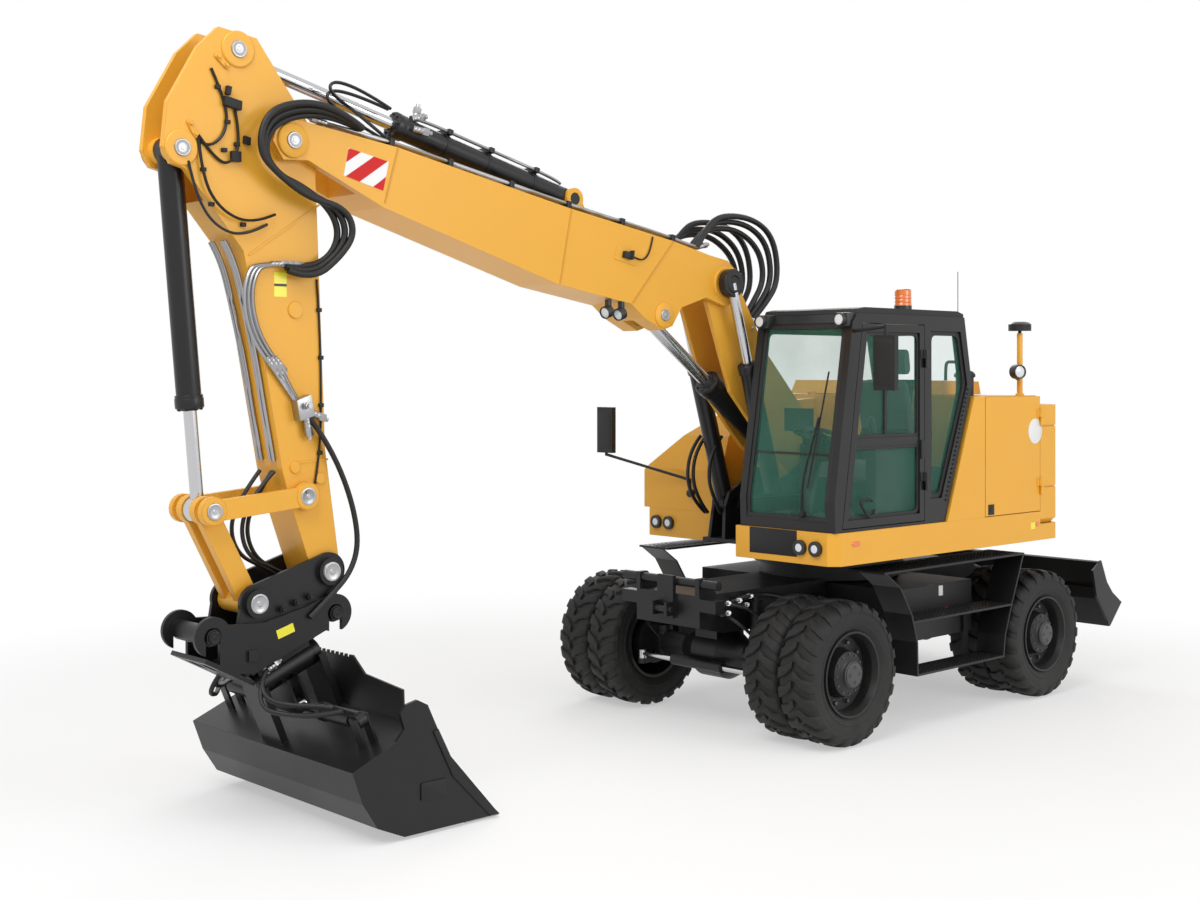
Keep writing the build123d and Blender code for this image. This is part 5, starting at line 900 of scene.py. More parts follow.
CAB_IN, CAB_OUT = 0.365, 1.235
DOOR_REAR = SWING_X + 0.42
door_outline = [
    (SWING_X + 1.395, 1.52), (SWING_X + 1.165, 2.965), (DOOR_REAR, 2.965), (DOOR_REAR, 1.52),
]
door_open = shrunk(door_outline, 0.062)
rear_window = [
    (DOOR_REAR - 0.075, 2.92), (SWING_X - 0.04, 2.92), (SWING_X - 0.13, 2.52), (SWING_X + 0.205, 1.68),
    (DOOR_REAR - 0.075, 1.68),
]
right_window = [
    (CAB_FRONT_X - 0.095, 1.69), (CAB_FRONT_X - 0.285, 2.93), (SWING_X - 0.03, 2.93), (SWING_X - 0.12, 2.52),
    (SWING_X + 0.225, 1.69),
]
seals = [
    picture_frame(shrunk(rear_window, -0.002), 0.034, CAB_OUT - 0.030, CAB_OUT - 0.016, 0.05),
    picture_frame(shrunk(right_window, -0.002), 0.034, CAB_IN + 0.016, CAB_IN + 0.030, 0.05),
]
screen_points = [(CAB_FRONT_X - 0.034, 1.575), (CAB_FRONT_X - 0.029, 1.722), (CAB_FRONT_X - 0.231, 2.955)]
for y_low, y_high in ((CAB_IN + 0.060, CAB_IN + 0.092), (CAB_OUT - 0.092, CAB_OUT - 0.060)):
    strip = screen_points + [(x + 0.010, z) for x, z in reversed(screen_points)]
    seals.append(slab(strip, y_low, y_high, 0.002))
seals.append(box(CAB_FRONT_X - 0.036, CAB_FRONT_X - 0.020, CAB_IN + 0.06, CAB_OUT - 0.06, 1.565, 1.600, 0.003))
seals.append(box(CAB_FRONT_X - 0.240, CAB_FRONT_X - 0.218, CAB_IN + 0.06, CAB_OUT - 0.06, 2.925, 2.960, 0.003))
seals.append(box(CAB_FRONT_X - 0.088, CAB_FRONT_X - 0.078, CAB_IN + 0.09, CAB_OUT - 0.09, 2.032, 2.046, 0.002))
piece("window_seals", seals, "upper", seal_rubber, smooth=40)

door_seals = [
    picture_frame(door_open, 0.022, CAB_OUT - 0.024, CAB_OUT - 0.012, 0.05),
]
rail_front = SWING_X + 1.395 + (2.12 - 1.52) * (1.165 - 1.395) / (2.965 - 1.52) - 0.062
for z_low, z_high in ((2.15, 2.172), (2.068, 2.09)):
    door_seals.append(box(DOOR_REAR + 0.062, rail_front, CAB_OUT - 0.024, CAB_OUT - 0.010, z_low, z_high, 0.002))
# The upper pane slides, so an upright rail and a small catch part it
slide_x = DOOR_REAR + 0.46
door_seals.append(box(slide_x - 0.016, slide_x + 0.016, CAB_OUT - 0.023, CAB_OUT - 0.008, 2.17, 2.905, 0.003))
door_seals.append(box(slide_x + 0.03, slide_x + 0.10, CAB_OUT - 0.023, CAB_OUT - 0.002, 2.50, 2.53, 0.003))
piece("door_seals", door_seals, "cab_door", seal_rubber, smooth=40)

handle = joined([
    pipe(
        [
            (DOOR_REAR + 0.63, CAB_OUT - 0.004, 1.70), (DOOR_REAR + 0.66, CAB_OUT + 0.016, 1.725),
            (DOOR_REAR + 0.78, CAB_OUT + 0.020, 1.72), (DOOR_REAR + 0.80, CAB_OUT + 0.020, 1.70),
            (DOOR_REAR + 0.70, CAB_OUT + 0.020, 1.59), (DOOR_REAR + 0.62, CAB_OUT + 0.018, 1.61),
            (DOOR_REAR + 0.61, CAB_OUT - 0.004, 1.64),
        ],
        0.010, sides=12,
    ),
    box(DOOR_REAR + 0.015, DOOR_REAR + 0.058, CAB_OUT - 0.004, CAB_OUT + 0.012, 1.98, 2.12, 0.005),
])
piece("door_handle", handle, "cab_door", black_plastic, smooth=50)

# Slatted trim on the slanted rear pillar
trim_parts = []
for k in range(26):
    z = 1.66 + k * 0.033
    x = SWING_X + 0.165 + (z - 1.5) * (-0.19 - 0.165) / (2.52 - 1.5)
    trim_parts.append(box(x + 0.010, x + 0.052, CAB_OUT - 0.002, CAB_OUT + 0.008, z - 0.006, z + 0.008, 0.002))
piece("pillar_trim", trim_parts, "upper", black_plastic, smooth=40)

wiper = joined([
    pipe(
        [
            (CAB_FRONT_X - 0.004, 0.95, 1.62), (CAB_FRONT_X + 0.008, 0.955, 1.80),
            (CAB_FRONT_X - 0.02, 0.99, 2.00), (CAB_FRONT_X - 0.060, 1.06, 2.30),
        ],
        0.009, sides=10,
    ),
    pipe(
        [
            (CAB_FRONT_X - 0.018, 0.99, 1.80), (CAB_FRONT_X - 0.062, 1.055, 2.22),
            (CAB_FRONT_X - 0.115, 1.105, 2.62),
        ],
        0.007, sides=8,
    ),
    (
        turned([(0.018, 0.03), (0.026, 0.02), (0.026, 0.0)], sides=20, ends=True),
        aimed((CAB_FRONT_X - 0.018, 0.95, 1.62), FORWARD),
    ),
])
piece("screen_wiper", wiper, "upper", black_plastic, smooth=50)

roof_lamps = []
for y in (CAB_IN + 0.07, CAB_OUT - 0.07):
    roof_lamps.append((lamp(0.047, 0.05), aimed((CAB_FRONT_X - 0.19, y, 2.985), FORWARD)))
for y in (CAB_IN + 0.07, CAB_OUT - 0.07):
    roof_lamps.append(box(CAB_FRONT_X - 0.27, CAB_FRONT_X - 0.175, y - 0.055, y + 0.055, 2.935, 3.034, 0.012))
piece("roof_lamps", roof_lamps, "upper", lamp_bezel, lamp_glass, smooth=35)
roof_lid = joined([
    box(SWING_X + 0.42, SWING_X + 1.0, CAB_IN + 0.14, CAB_OUT - 0.14, 3.070, 3.0745, 0.002),
    box(SWING_X - 0.085, SWING_X + 1.20, CAB_IN + 0.012, CAB_OUT - 0.012, 3.026, 3.034, 0.003),
])
piece("roof_lid", roof_lid, "upper", cab_black, smooth=35)

beacon_orange = surface(
    "beacon_orange", (0.88, 0.19, 0.012), 0.16, spread=0.08, grain=0.2, grain_size=60, coat=1.0,
)
beacon = joined([
    (
        turned(
            [
                (CENTRE, 0.168), (0.030, 0.167), (0.054, 0.1625), (0.0625, 0.152), (0.0635, 0.118),
                (0.0615, 0.116), (0.0635, 0.112), (0.0635, 0.092), (0.0615, 0.090), (0.0635, 0.086),
                (0.0635, 0.064), (0.0615, 0.062), (0.0645, 0.056), (0.066, 0.040),
            ],
            sides=40,
        ),
        Matrix.Translation((SWING_X + 0.33, 0.975, 3.075)),
    )
])
piece("beacon_lens", beacon, "upper", beacon_orange, smooth=30)
wear(["lamps"], lamp_bezel)

antenna = joined([
    pipe(
        [(SWING_X - 0.10, 1.17, 3.02), (SWING_X - 0.10, 1.17, 3.2), (SWING_X - 0.10, 1.17, 3.38)], 0.0028,
        sides=8,
    ),
    (
        turned([(0.006, 0.05), (0.012, 0.03), (0.014, 0.0)], sides=16, ends=True),
        Matrix.Translation((SWING_X - 0.10, 1.17, 3.02)),
    ),
])
piece("antenna", antenna, "upper", black_plastic, smooth=50)

mirror_glass = surface("mirror_glass", (0.60, 0.64, 0.66), 0.05, spread=0.05, metal=1.0)
mirror_parts = []
MIRROR_PLACES = ((SWING_X + 1.252, 1.5, 2.68), (SWING_X + 1.06, -1.5, 2.135))
for x, y, z in MIRROR_PLACES:
    shell = bmesh.new()
    outline = rounded_outline(
        [(y - 0.0895, z - 0.19), (y + 0.0895, z - 0.19), (y + 0.0895, z + 0.19), (y - 0.0895, z + 0.19)], 0.045,
    )
    rings = []
    for reach, grow in (
        (-0.024, 0.93), (-0.024, 0.985), (-0.016, 1.0), (0.006, 0.985), (0.020, 0.90), (0.026, 0.74),
    ):
        rings.append([shell.verts.new((x + reach, y + (a - y) * grow, z + (b - z) * grow)) for a, b in outline])
    for a, b in zip(rings, rings[1:]):
        for k in range(len(outline)):
            shell.faces.new((a[k], b[k], b[(k + 1) % len(outline)], a[(k + 1) % len(outline)]))
    back = shell.faces.new(rings[0])
    shell.faces.new(reversed(rings[-1]))
    bmesh.ops.recalc_face_normals(shell, faces=shell.faces)
    back.material_index = 1
    shell_mesh = bpy.data.meshes.new("mirror")
    shell.to_mesh(shell_mesh)
    shell.free()
    mirror_parts.append(shell_mesh)
piece("mirror_heads", mirror_parts, "upper", black_plastic, mirror_glass, smooth=40)


# Seat and controls. A ribbed grey suspension seat with a high back and a head rest, two joysticks on
# the consoles and a small monitor. The cover is padded cloth with sewn channels.

seat_cloth = surface("seat_cloth", (0.075, 0.077, 0.08), 0.85, spread=0.2, grain=1.0, grain_size=520)
MIDDLE = (CAB_IN + CAB_OUT) / 2


def cushion(half_wide, length, thick, channels, crown=0.35, side_wing=0.02):
    """A padded panel: wide along Y, long along X, its face up, with sewn channels across."""
    across, down = 21, 41
    made = bmesh.new()
    face, under = [], []
    for i in range(down):
        u = i / (down - 1)
        row, low_row = [], []
        for j in range(across):
            v = 2 * j / (across - 1) - 1
            pinch = 1 - 0.05 * (2 * u - 1) ** 2
            corner = (1 - abs(v) ** 6) * (1 - abs(2 * u - 1) ** 8)
            sewn = 0.5 - 0.5 * math.cos(math.tau * u * channels)
            wing = side_wing * abs(v) ** 3 * (corner ** 0.4)
            high = thick * (0.5 + 0.5 * corner ** 0.5) * (1 - crown * 0.12 * (1 - v * v)) + wing
            high -= 0.010 * (1 - sewn) ** 6 * (1 - abs(v) ** 4) * (0 < u < 1)
            row.append(made.verts.new((length * (u - 0.5) * (1 - 0.02 * v * v), half_wide * v * pinch, high)))
            low_row.append(made.verts.new((length * (u - 0.5) * 0.96, half_wide * v * 0.95, 0)))
        face.append(row)
        under.append(low_row)
    for i in range(down - 1):
        for j in range(across - 1):
            made.faces.new((face[i][j], face[i + 1][j], face[i + 1][j + 1], face[i][j + 1]))
            made.faces.new((under[i][j + 1], under[i + 1][j + 1], under[i + 1][j], under[i][j]))
    for i in range(down - 1):
        made.faces.new((face[i + 1][0], face[i][0], under[i][0], under[i + 1][0]))
        made.faces.new((face[i][-1], face[i + 1][-1], under[i + 1][-1], under[i][-1]))
    for j in range(across - 1):
        made.faces.new((face[0][j], face[0][j + 1], under[0][j + 1], under[0][j]))
        made.faces.new((face[-1][j + 1], face[-1][j], under[-1][j], under[-1][j + 1]))
    bmesh.ops.recalc_face_normals(made, faces=made.faces)
    mesh = bpy.data.meshes.new("cushion")
    made.to_mesh(mesh)
    made.free()
    return mesh


seat_base = piece("seat_cushion", [
    (cushion(0.25, 0.50, 0.12, 6), Matrix.Translation((SWING_X + 0.605, MIDDLE, 1.835))),
], "upper", seat_cloth, smooth=60, slot="seat_fabric")
back_lean = Matrix.Rotation(math.radians(-76.5), 4, "Y")
back_way = Matrix.Translation((SWING_X + 0.335, MIDDLE, 2.255)) @ back_lean
seat_back = piece(
    "seat_back", [(cushion(0.23, 0.60, 0.10, 8, side_wing=0.03), back_way)], "upper", seat_cloth, smooth=60,
)
head_way = Matrix.Translation((SWING_X + 0.24, MIDDLE, 2.69)) @ Matrix.Rotation(math.radians(-82), 4, "Y")
head_rest = piece("head_rest", [(cushion(0.13, 0.19, 0.08, 2), head_way)], "upper", seat_cloth, smooth=60)
seat_frame = joined([
    slab(
        [(SWING_X + 0.34, 1.80), (SWING_X + 0.86, 1.80), (SWING_X + 0.85, 1.838), (SWING_X + 0.35, 1.838)],
        MIDDLE - 0.25, MIDDLE + 0.25, 0.012,
    ),
    slab(
        [(SWING_X + 0.335, 1.96), (SWING_X + 0.36, 1.96), (SWING_X + 0.25, 2.56), (SWING_X + 0.228, 2.56)],
        MIDDLE - 0.215, MIDDLE + 0.215, 0.008,
    ),
    slab(
        [(SWING_X + 0.43, 1.56), (SWING_X + 0.75, 1.56), (SWING_X + 0.70, 1.80), (SWING_X + 0.48, 1.80)],
        MIDDLE - 0.15, MIDDLE + 0.15, 0.01,
    ),
    pipe([(SWING_X + 0.275, MIDDLE - 0.07, 2.52), (SWING_X + 0.262, MIDDLE - 0.07, 2.63)], 0.009, order=2),
    pipe([(SWING_X + 0.275, MIDDLE + 0.07, 2.52), (SWING_X + 0.262, MIDDLE + 0.07, 2.63)], 0.009, order=2),
])
piece("seat_shell", seat_frame, "upper", black_plastic, smooth=35)
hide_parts("seat")

grips = []
for side in (-1, 1):
    knob = turned(
        [(CENTRE, 0.110), (0.016, 0.106), (0.026, 0.085), (0.027, 0.055), (0.021, 0.02), (0.018, 0.0)],
        sides=20,
    )
    grips.append((knob, aimed((SWING_X + 0.868, MIDDLE + side * 0.301, 2.19), (0.12, -0.1 * side, 1))))
    boot = turned(
        [
            (0.018, 0.09), (0.030, 0.075), (0.024, 0.065), (0.038, 0.05), (0.032, 0.04), (0.046, 0.02),
            (0.048, 0.0),
        ],
        sides=24,
    )
    grips.append((boot, Matrix.Translation((SWING_X + 0.85, MIDDLE + side * 0.307, 2.08))))
    grips.append(box(
        SWING_X + 0.40, SWING_X + 0.74, MIDDLE + side * 0.307 - 0.04, MIDDLE + side * 0.307 + 0.04, 2.08, 2.125,
        0.015,
    ))
piece("joysticks", grips, "upper", black_plastic, smooth=40)


# Lower boom. Two yellow plates joined by tubes, with the pipes and hoses for the arm between them.
# The lift cylinders stand outside the plates and the adjusting cylinder leans between them.

wear(["lower_boom"], yellow_paint)
wear(["lift_cylinder_barrels", "adjust_cylinder_barrel"], cab_black)
wear(["lift_cylinder_rods", "adjust_cylinder_rod"], chrome)


def spot(x, y, z):
    """A place given ahead of the swing axis."""
    return (SWING_X + x, y, z)


lower_pipes, lower_ends = [], []
for y in (-0.085, -0.055, 0.058, 0.088):
    lower_pipes.append(pipe(
        [
            spot(0.42, y, 1.985), spot(0.50, y, 2.22), spot(0.62, y, 2.45), spot(0.98, y, 2.86),
            spot(1.16, y, 3.10),
        ],
        0.0125,
    ))
    for place, way in ((spot(0.42, y, 1.985), (-0.2, 0, -1)), (spot(1.16, y, 3.10), (0.4, 0, 0.6))):
        lower_ends.append((coupling(0.014), aimed(place, way)))
piece("lower_boom_pipes", lower_pipes, "lower_boom", bright_steel, smooth=60)
piece("lower_boom_fittings", lower_ends, "lower_boom", bright_steel, smooth=35)
for number, (y, lift) in enumerate(((-0.1, 0.0), (-0.04, 0.02), (0.03, 0.0), (0.09, 0.03))):
    deck_hose = piece(
        f"deck_hose_{number}",
        pipe(
            [
                spot(0.36, y, 1.56), spot(0.33, y, 1.70 + lift), spot(0.31, y * 0.95, 1.86 + lift),
                spot(0.34, y * 0.9, 1.98), spot(0.40, y * 0.9, 1.99), spot(0.42, y * 0.9, 2.02),
            ],
            0.016, sides=12,
        ),
        None, hose_rubber, smooth=60,
    )
    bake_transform(deck_hose)

# Hoses that run up beside the lift cylinders from the deck
for number, (y, lean) in enumerate(((-0.205, 0.0), (-0.345, 0.03), (-0.375, 0.06))):
    lift_hose = piece(
        f"lift_hose_{number}",
        pipe(
            [
                spot(1.06, y, 1.52), spot(1.13 + lean, y, 1.62), spot(1.20 + lean, y - 0.01, 1.80),
                spot(1.15 + lean, y - 0.01, 2.02), spot(1.05 + lean, y, 2.12),
            ],
            0.014, sides=12,
        ),
        None, hose_rubber, smooth=60,
    )
    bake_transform(lift_hose)


# Black covers on the rod eyes of the lift cylinders
LIFT_EYE = (-0.2825, 3.27)
rod_eyes = []
for side in (-1, 1):
    ring = turned(
        [
            (CENTRE, 0.034), (0.050, 0.034), (0.056, 0.040), (0.068, 0.040), (0.074, 0.034), (0.100, 0.034),
            (0.1045, 0.029), (0.1045, -0.029), (0.100, -0.032), (0.06, -0.032),
        ],
        sides=48,
    )
    rod_eyes.append((ring, aimed((LIFT_EYE[0], side * 0.262, LIFT_EYE[1]), (0, side, 0))))
piece("lift_rod_eyes", rod_eyes, "lift_rods", cab_black, smooth=35)


# Upper boom. A long yellow box of welded plate with seams across it, a bolted blank cover, two lamps
# below and a striped warning patch at its head. Steel pipes run along its top to the arm's hoses.

wear(["upper_boom"], yellow_paint)
ADJUST_EYE = (0.3575, 3.02)
ELBOW_PIN = (3.4075, 3.95)
BOOM_SIDE = 0.2
boom_top = [(3.4075, 4.08), (2.6645, 3.984), (1.2595, 3.716), (0.2715, 3.554), (-0.1225, 3.47)]


def top_at(x):
    """The height of the upper boom's top plate at a place along it."""
    for (x_far, z_far), (x_near, z_near) in zip(boom_top, boom_top[1:]):
        if x >= x_near:
            return z_near + (z_far - z_near) * (x - x_near) / (x_far - x_near)
    return boom_top[-1][1]


def ribbon(points, half_wide, y, thick, side=1):
    """A thin strip on a side plate that follows (x, z) points: a weld, a seam or a stripe."""
    left, right = [], []
    for k, point in enumerate(points):
        ahead = Vector(points[min(k + 1, len(points) - 1)]) - Vector(points[max(k - 1, 0)])
        across = Vector((-ahead.y, ahead.x)).normalized() * half_wide
        left.append((point[0] + across.x, point[1] + across.y))
        right.append((point[0] - across.x, point[1] - across.y))
    low, high = sorted((side * y, side * (y + thick)))
    return slab(left + right[::-1], low, high)


weld_yellow = surface("weld_yellow", (0.62, 0.30, 0.03), 0.45, spread=0.06, grain=0.6, grain_size=260)
seam_lines = [
    [(1.242, 3.712), (1.344, 3.210)], [(0.262, 3.550), (0.668, 3.100)], [(2.665, 3.980), (2.761, 3.640)],
]
welds = []
for side in (-1, 1):
    for line in seam_lines:
        welds.append(ribbon(line, 0.006, BOOM_SIDE, 0.004, side))
piece("boom_welds", welds, "upper_boom", weld_yellow)

boss_parts = []
for side in (-1, 1):
    boss_parts += [
        (
            turned([(CENTRE, 0.020), (0.090, 0.020), (0.100, 0.014), (0.103, 0.0)], sides=40),
            aimed((ELBOW_PIN[0], side * BOOM_SIDE, ELBOW_PIN[1]), (0, side, 0)),
        ),
        (
            turned([(CENTRE, 0.012), (0.085, 0.012), (0.092, 0.008), (0.092, 0.0)], sides=36),
            aimed((ADJUST_EYE[0], side * BOOM_SIDE, ADJUST_EYE[1]), (0, side, 0)),
        ),
        (
            turned([(CENTRE, 0.014), (0.115, 0.014), (0.122, 0.008), (0.122, 0.0)], sides=40),
            aimed((LIFT_EYE[0], side * BOOM_SIDE, LIFT_EYE[1]), (0, side, 0)),
        ),
    ]
piece("boom_bosses", boss_parts, "upper_boom", yellow_paint, smooth=35)


def keeper(long, wide, thick=0.012):
    """A pin keeper plate with two bolts, in the XZ plane, facing +Y from y = 0."""
    base = slab(
        rounded_outline(
            [(-long / 2, -wide / 2), (long / 2, -wide / 2), (long / 2, wide / 2), (-long / 2, wide / 2)],
            wide * 0.45,
        ),
        0, thick, 0.002,
    )
    bolt = hexagon_head(0.022, 0.014)
    return joined([
        base,
        (bolt, aimed((-long * 0.3, thick, 0), (0, 1, 0))),
        (bolt, aimed((long * 0.3, thick, 0), (0, 1, 0))),
    ])


pin_steel = surface(
    "pin_steel", (0.42, 0.42, 0.43), 0.32, spread=0.12, metal=0.9, grain=0.2, grain_size=200, edge=0.002,
)
PIN_RADIUS = 0.043
pin_face = turned(
    [
        (CENTRE, 0.011), (0.010, 0.011), (0.012, 0.008), (0.030, 0.008), (0.034, 0.011), (0.040, 0.010),
        (PIN_RADIUS, 0.0),
    ],
    sides=32,
)


def pin_ends(x, z, y, radius=PIN_RADIUS):
    """The two faces of a pin that runs across the machine."""
    grow = Matrix.Diagonal((radius / PIN_RADIUS, radius / PIN_RADIUS, 1, 1))
    return [(pin_face, aimed((x, side * y, z), (0, side, 0)) @ grow) for side in (-1, 1)]


piece(
    "boom_pins", pin_ends(*ELBOW_PIN, 0.220, 0.05) + pin_ends(*ADJUST_EYE, 0.212), "upper_boom", pin_steel,
    smooth=35,
)
# Striped warning patch on both sides of the head
stripe_red = surface(
    "stripe_red", (0.60, 0.008, 0.008), 0.4, spread=0.06, grain=0.3, grain_size=700, gloss=0.25,
)
patch = [(3.023, 3.945), (2.733, 3.890), (2.775, 3.711), (3.058, 3.779)]
patch_parts, patch_red = [], []
for side in (-1, 1):
    low, high = sorted((side * BOOM_SIDE, side * 0.2015))
    patch_parts.append(slab(patch, low, high, 0))
    low, high = sorted((side * 0.2012, side * 0.2022))
    a, b, c, d = (Vector(p) for p in patch)
    at = lambda u, v: tuple((a * (1 - u) + b * u) * (1 - v) + (d * (1 - u) + c * u) * v)
    for band in (
        [at(0.03, 0.0), at(0.30, 0.0), at(0.0, 0.52), at(0.0, 0.06)],
        [at(0.62, 0.0), at(0.97, 0.0), at(0.40, 1.0), at(0.05, 1.0)],
        [at(1.0, 0.52), at(1.0, 1.0), at(0.74, 1.0)],
    ):
        patch_red.append(slab(band, low, high, 0))
piece("warning_patch", patch_parts, "upper_boom", white_vinyl)
piece("warning_stripes", patch_red, "upper_boom", stripe_red)

# Small black box of electronics with its loom, and two lamps under the boom
box_parts = [slab([(0.69, 3.395), (0.775, 3.41), (0.765, 3.455), (0.68, 3.44)], BOOM_SIDE, 0.235, 0.005),
             slab([(0.70, 3.40), (0.715, 3.40), (0.70, 3.46), (0.688, 3.46)], BOOM_SIDE, 0.245, 0.003)]
box_parts.append(pipe(
    [
        (0.705, 0.212, 3.43), (0.64, 0.214, 3.405), (0.56, 0.208, 3.40), (0.50, 0.208, 3.47),
        (0.475, 0.206, 3.57),
    ],
    0.006,
))
piece("boom_box", box_parts, "upper_boom", black_plastic, smooth=35)
piece("boom_cover", [
    slab([(0.64, 3.355), (0.845, 3.395), (0.82, 3.50), (0.615, 3.46)], 0.2, 0.2035, 0.001),
    slab([(0.64, 3.355), (0.845, 3.395), (0.82, 3.50), (0.615, 3.46)], -0.2035, -0.2, 0.001),
], "upper_boom", yellow_paint)
under_lamps = joined([
    part for x, z, y in ((0.875, 3.058, 0.16), (0.765, 3.046, 0.175)) for part in (
        (lamp(0.044, 0.055), aimed((x - 0.02, y, z - 0.02), (0.85, 0.1, -0.25))),
        box(x - 0.025, x + 0.005, y - 0.02, y + 0.02, z - 0.02, z + 0.06, 0.004),
    )
])
piece("boom_lamps", under_lamps, "upper_boom", lamp_bezel, lamp_glass, smooth=35)

# Pipes along the top plate, held by clamps
boom_pipes, clamps, ends = [], [], []
for number, y in enumerate((-0.165, -0.13, -0.095, 0.095, 0.13, 0.165)):
    start, stop = (-0.02, 1.02) if abs(y) < 0.1 else (-0.02, 2.86 + 0.06 * number)
    xs = [start + (stop - start) * k / 9 for k in range(10)]
    boom_pipes.append(pipe([(x, y, top_at(x) + 0.032) for x in xs], 0.0125))
    ends.append((coupling(0.0135), aimed((stop, y, top_at(stop) + 0.032), (1, 0, 0.18))))
    ends.append((coupling(0.0135), aimed((start, y, top_at(start) + 0.032), (-1, 0, 0.25))))
for x in (0.25, 0.75, 1.25, 1.75, 2.25, 2.7):
    for side in (-1, 1):
        clamps.append((box(-0.018, 0.018, side * 0.13 - 0.058, side * 0.13 + 0.058, -0.004, 0.052, 0.005),
                       Matrix.Translation((x, 0, top_at(x))) @ Matrix.Rotation(math.radians(-11), 4, "Y")))
piece("boom_pipes", boom_pipes, "upper_boom", bright_steel, smooth=60)
piece("boom_pipe_ends", ends, "upper_boom", bright_steel, smooth=35)
piece("boom_clamps", clamps, "upper_boom", black_paint, smooth=35)

# Hose bundle that arches over the joint from the lower boom to the pipes on the top plate
for number, (y, rise) in enumerate(
    ((-0.165, 0.0), (-0.13, 0.04), (-0.095, 0.09), (0.095, 0.03), (0.13, 0.08), (0.165, 0.12))
):
    arch = piece(
        f"heel_hose_{number}",
        pipe(
            [
                (-0.62 - 0.5 * rise, y * 0.75, 3.02), (-0.70 - rise, y * 0.8, 3.14),
                (-0.82 - rise, y * 0.95, 3.32), (-0.76 - rise, y, 3.52 + rise), (-0.52 - rise, y, 3.66 + rise),
                (-0.26, y, 3.66 + rise), (-0.10, y, 3.60 + 0.4 * rise), (-0.02, y, top_at(-0.02) + 0.034),
            ],
            0.0225, sides=12,
        ),
        None, hose_rubber, smooth=60,
    )
    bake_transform(arch)
heel_ends = joined([
    (coupling(0.019), aimed((-0.62 - 0.5 * rise, y * 0.75, 3.02), (0.45, 0, -1)))
    for y, rise in ((-0.165, 0.0), (-0.13, 0.04), (-0.095, 0.09), (0.095, 0.03), (0.13, 0.08), (0.165, 0.12))
])
piece("heel_hose_ends", heel_ends, "lower_boom", bright_steel, smooth=35)

# Big hoses that loop from the boom's head pipes to the stick
for number, (y, wide) in enumerate(((0.205, 0.0), (0.235, 0.035), (0.265, 0.07), (-0.215, 0.0), (-0.25, 0.05))):
    elbow = piece(
        f"elbow_hose_{number}",
        pipe(
            [
                (2.92 + 0.12 * wide, y * 0.8, 4.07), (3.10, y * 0.95, 4.12 + wide * 0.4),
                (3.36, y, 4.11 + wide), (3.55 + wide, y, 4.02 + wide), (3.60 + wide, y, 3.86),
                (3.50 + wide * 0.6, y, 3.74), (3.34, y, 3.69 - wide), (3.16 - wide, y, 3.58),
                (3.09 - wide, y, 3.44), (3.14 - wide * 0.5, y * 0.95, 3.30), (3.28, y * 0.82, 3.22 - wide),
                (3.44, y * 0.78, 3.235 - wide * 0.5),
            ],
            0.0205, sides=12,
        ),
        None, hose_rubber, smooth=60,
    )
    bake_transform(elbow)


# Stick. A yellow welded box whose head carries both its cylinders between cheeks. Keeper plates hold
# the pins, silver tubes run down its side to a valve block, and a loom is clipped along its edge.

wear(["stick"], yellow_paint)
STICK_CYLINDER_EYE = (3.7275, 4.44)
BUCKET_CYLINDER_FOOT = (4.0775, 3.85)
STICK_SIDE = 0.14
PIN_REACH = STICK_SIDE + 0.0105
stick_pins = pin_ends(*STICK_CYLINDER_EYE, PIN_REACH, 0.05) + pin_ends(*BUCKET_CYLINDER_FOOT, PIN_REACH, 0.05)
piece("stick_head_pins", stick_pins, "stick", pin_steel, smooth=35)
keepers = []
for x, z, turn in ((3.83, 4.36, 40), (4.01, 3.96, 60)):
    for side in (-1, 1):
        flip = Matrix() if side > 0 else Matrix.Rotation(math.pi, 4, "Z")
        keepers.append((
            keeper(0.11, 0.034),
            Matrix.Translation((x, side * STICK_SIDE, z)) @ Matrix.Rotation(math.radians(-turn), 4, "Y") @ flip,
        ))
piece("stick_keepers", keepers, "stick", yellow_paint, smooth=35)

bosses = []
for side in (-1, 1):
    for x, z, radius in (
        (*STICK_CYLINDER_EYE, 0.105), (*BUCKET_CYLINDER_FOOT, 0.10), (3.353, 2.976, 0.05),
        (3.185, 1.990, 0.035), (3.355, 2.060, 0.035),
    ):
        bosses.append((
            turned(
                [(radius * 0.6, 0.011), (radius * 0.92, 0.011), (radius, 0.005), (radius, 0.0)], sides=36,
                ends=True,
            ),
            aimed((x, side * STICK_SIDE, z), (0, side, 0)),
        ))
    bosses.append(ribbon([(3.13, 2.10), (3.37, 2.085)], 0.006, STICK_SIDE, 0.004, side))
    bosses.append(ribbon([(3.19, 3.60), (3.66, 3.28)], 0.006, STICK_SIDE, 0.004, side))
piece("stick_bosses", bosses, "stick", yellow_paint, smooth=35)

tubes, tube_ends = [], []
for number, offset in enumerate((0.0, 0.042, 0.084)):
    y = STICK_SIDE + 0.02
    tubes.append(pipe(
        [
            (3.44 + offset, y, 3.235), (3.56 + offset * 0.8, y, 3.23), (3.625 + offset * 0.6, y, 3.18),
            (3.655 + offset * 0.6, y, 3.03), (3.60 + offset * 0.7, y, 2.82), (3.46 + offset * 0.7, y, 2.64),
            (3.40 + offset * 0.4, y, 2.53), (3.345 + offset * 0.3, y, 2.45),
        ],
        0.0115,
    ))
    tube_ends.append((coupling(0.013), aimed((3.44 + offset, y, 3.235), (-1, 0.1, 0.05))))
    tube_ends.append((coupling(0.0125), aimed((3.50 + offset * 0.7, y, 2.70), (-0.5, 0, -0.62))))
piece("stick_tubes", tubes, "stick", bright_steel, smooth=60)
piece("stick_tube_ends", tube_ends, "stick", bright_steel, smooth=35)
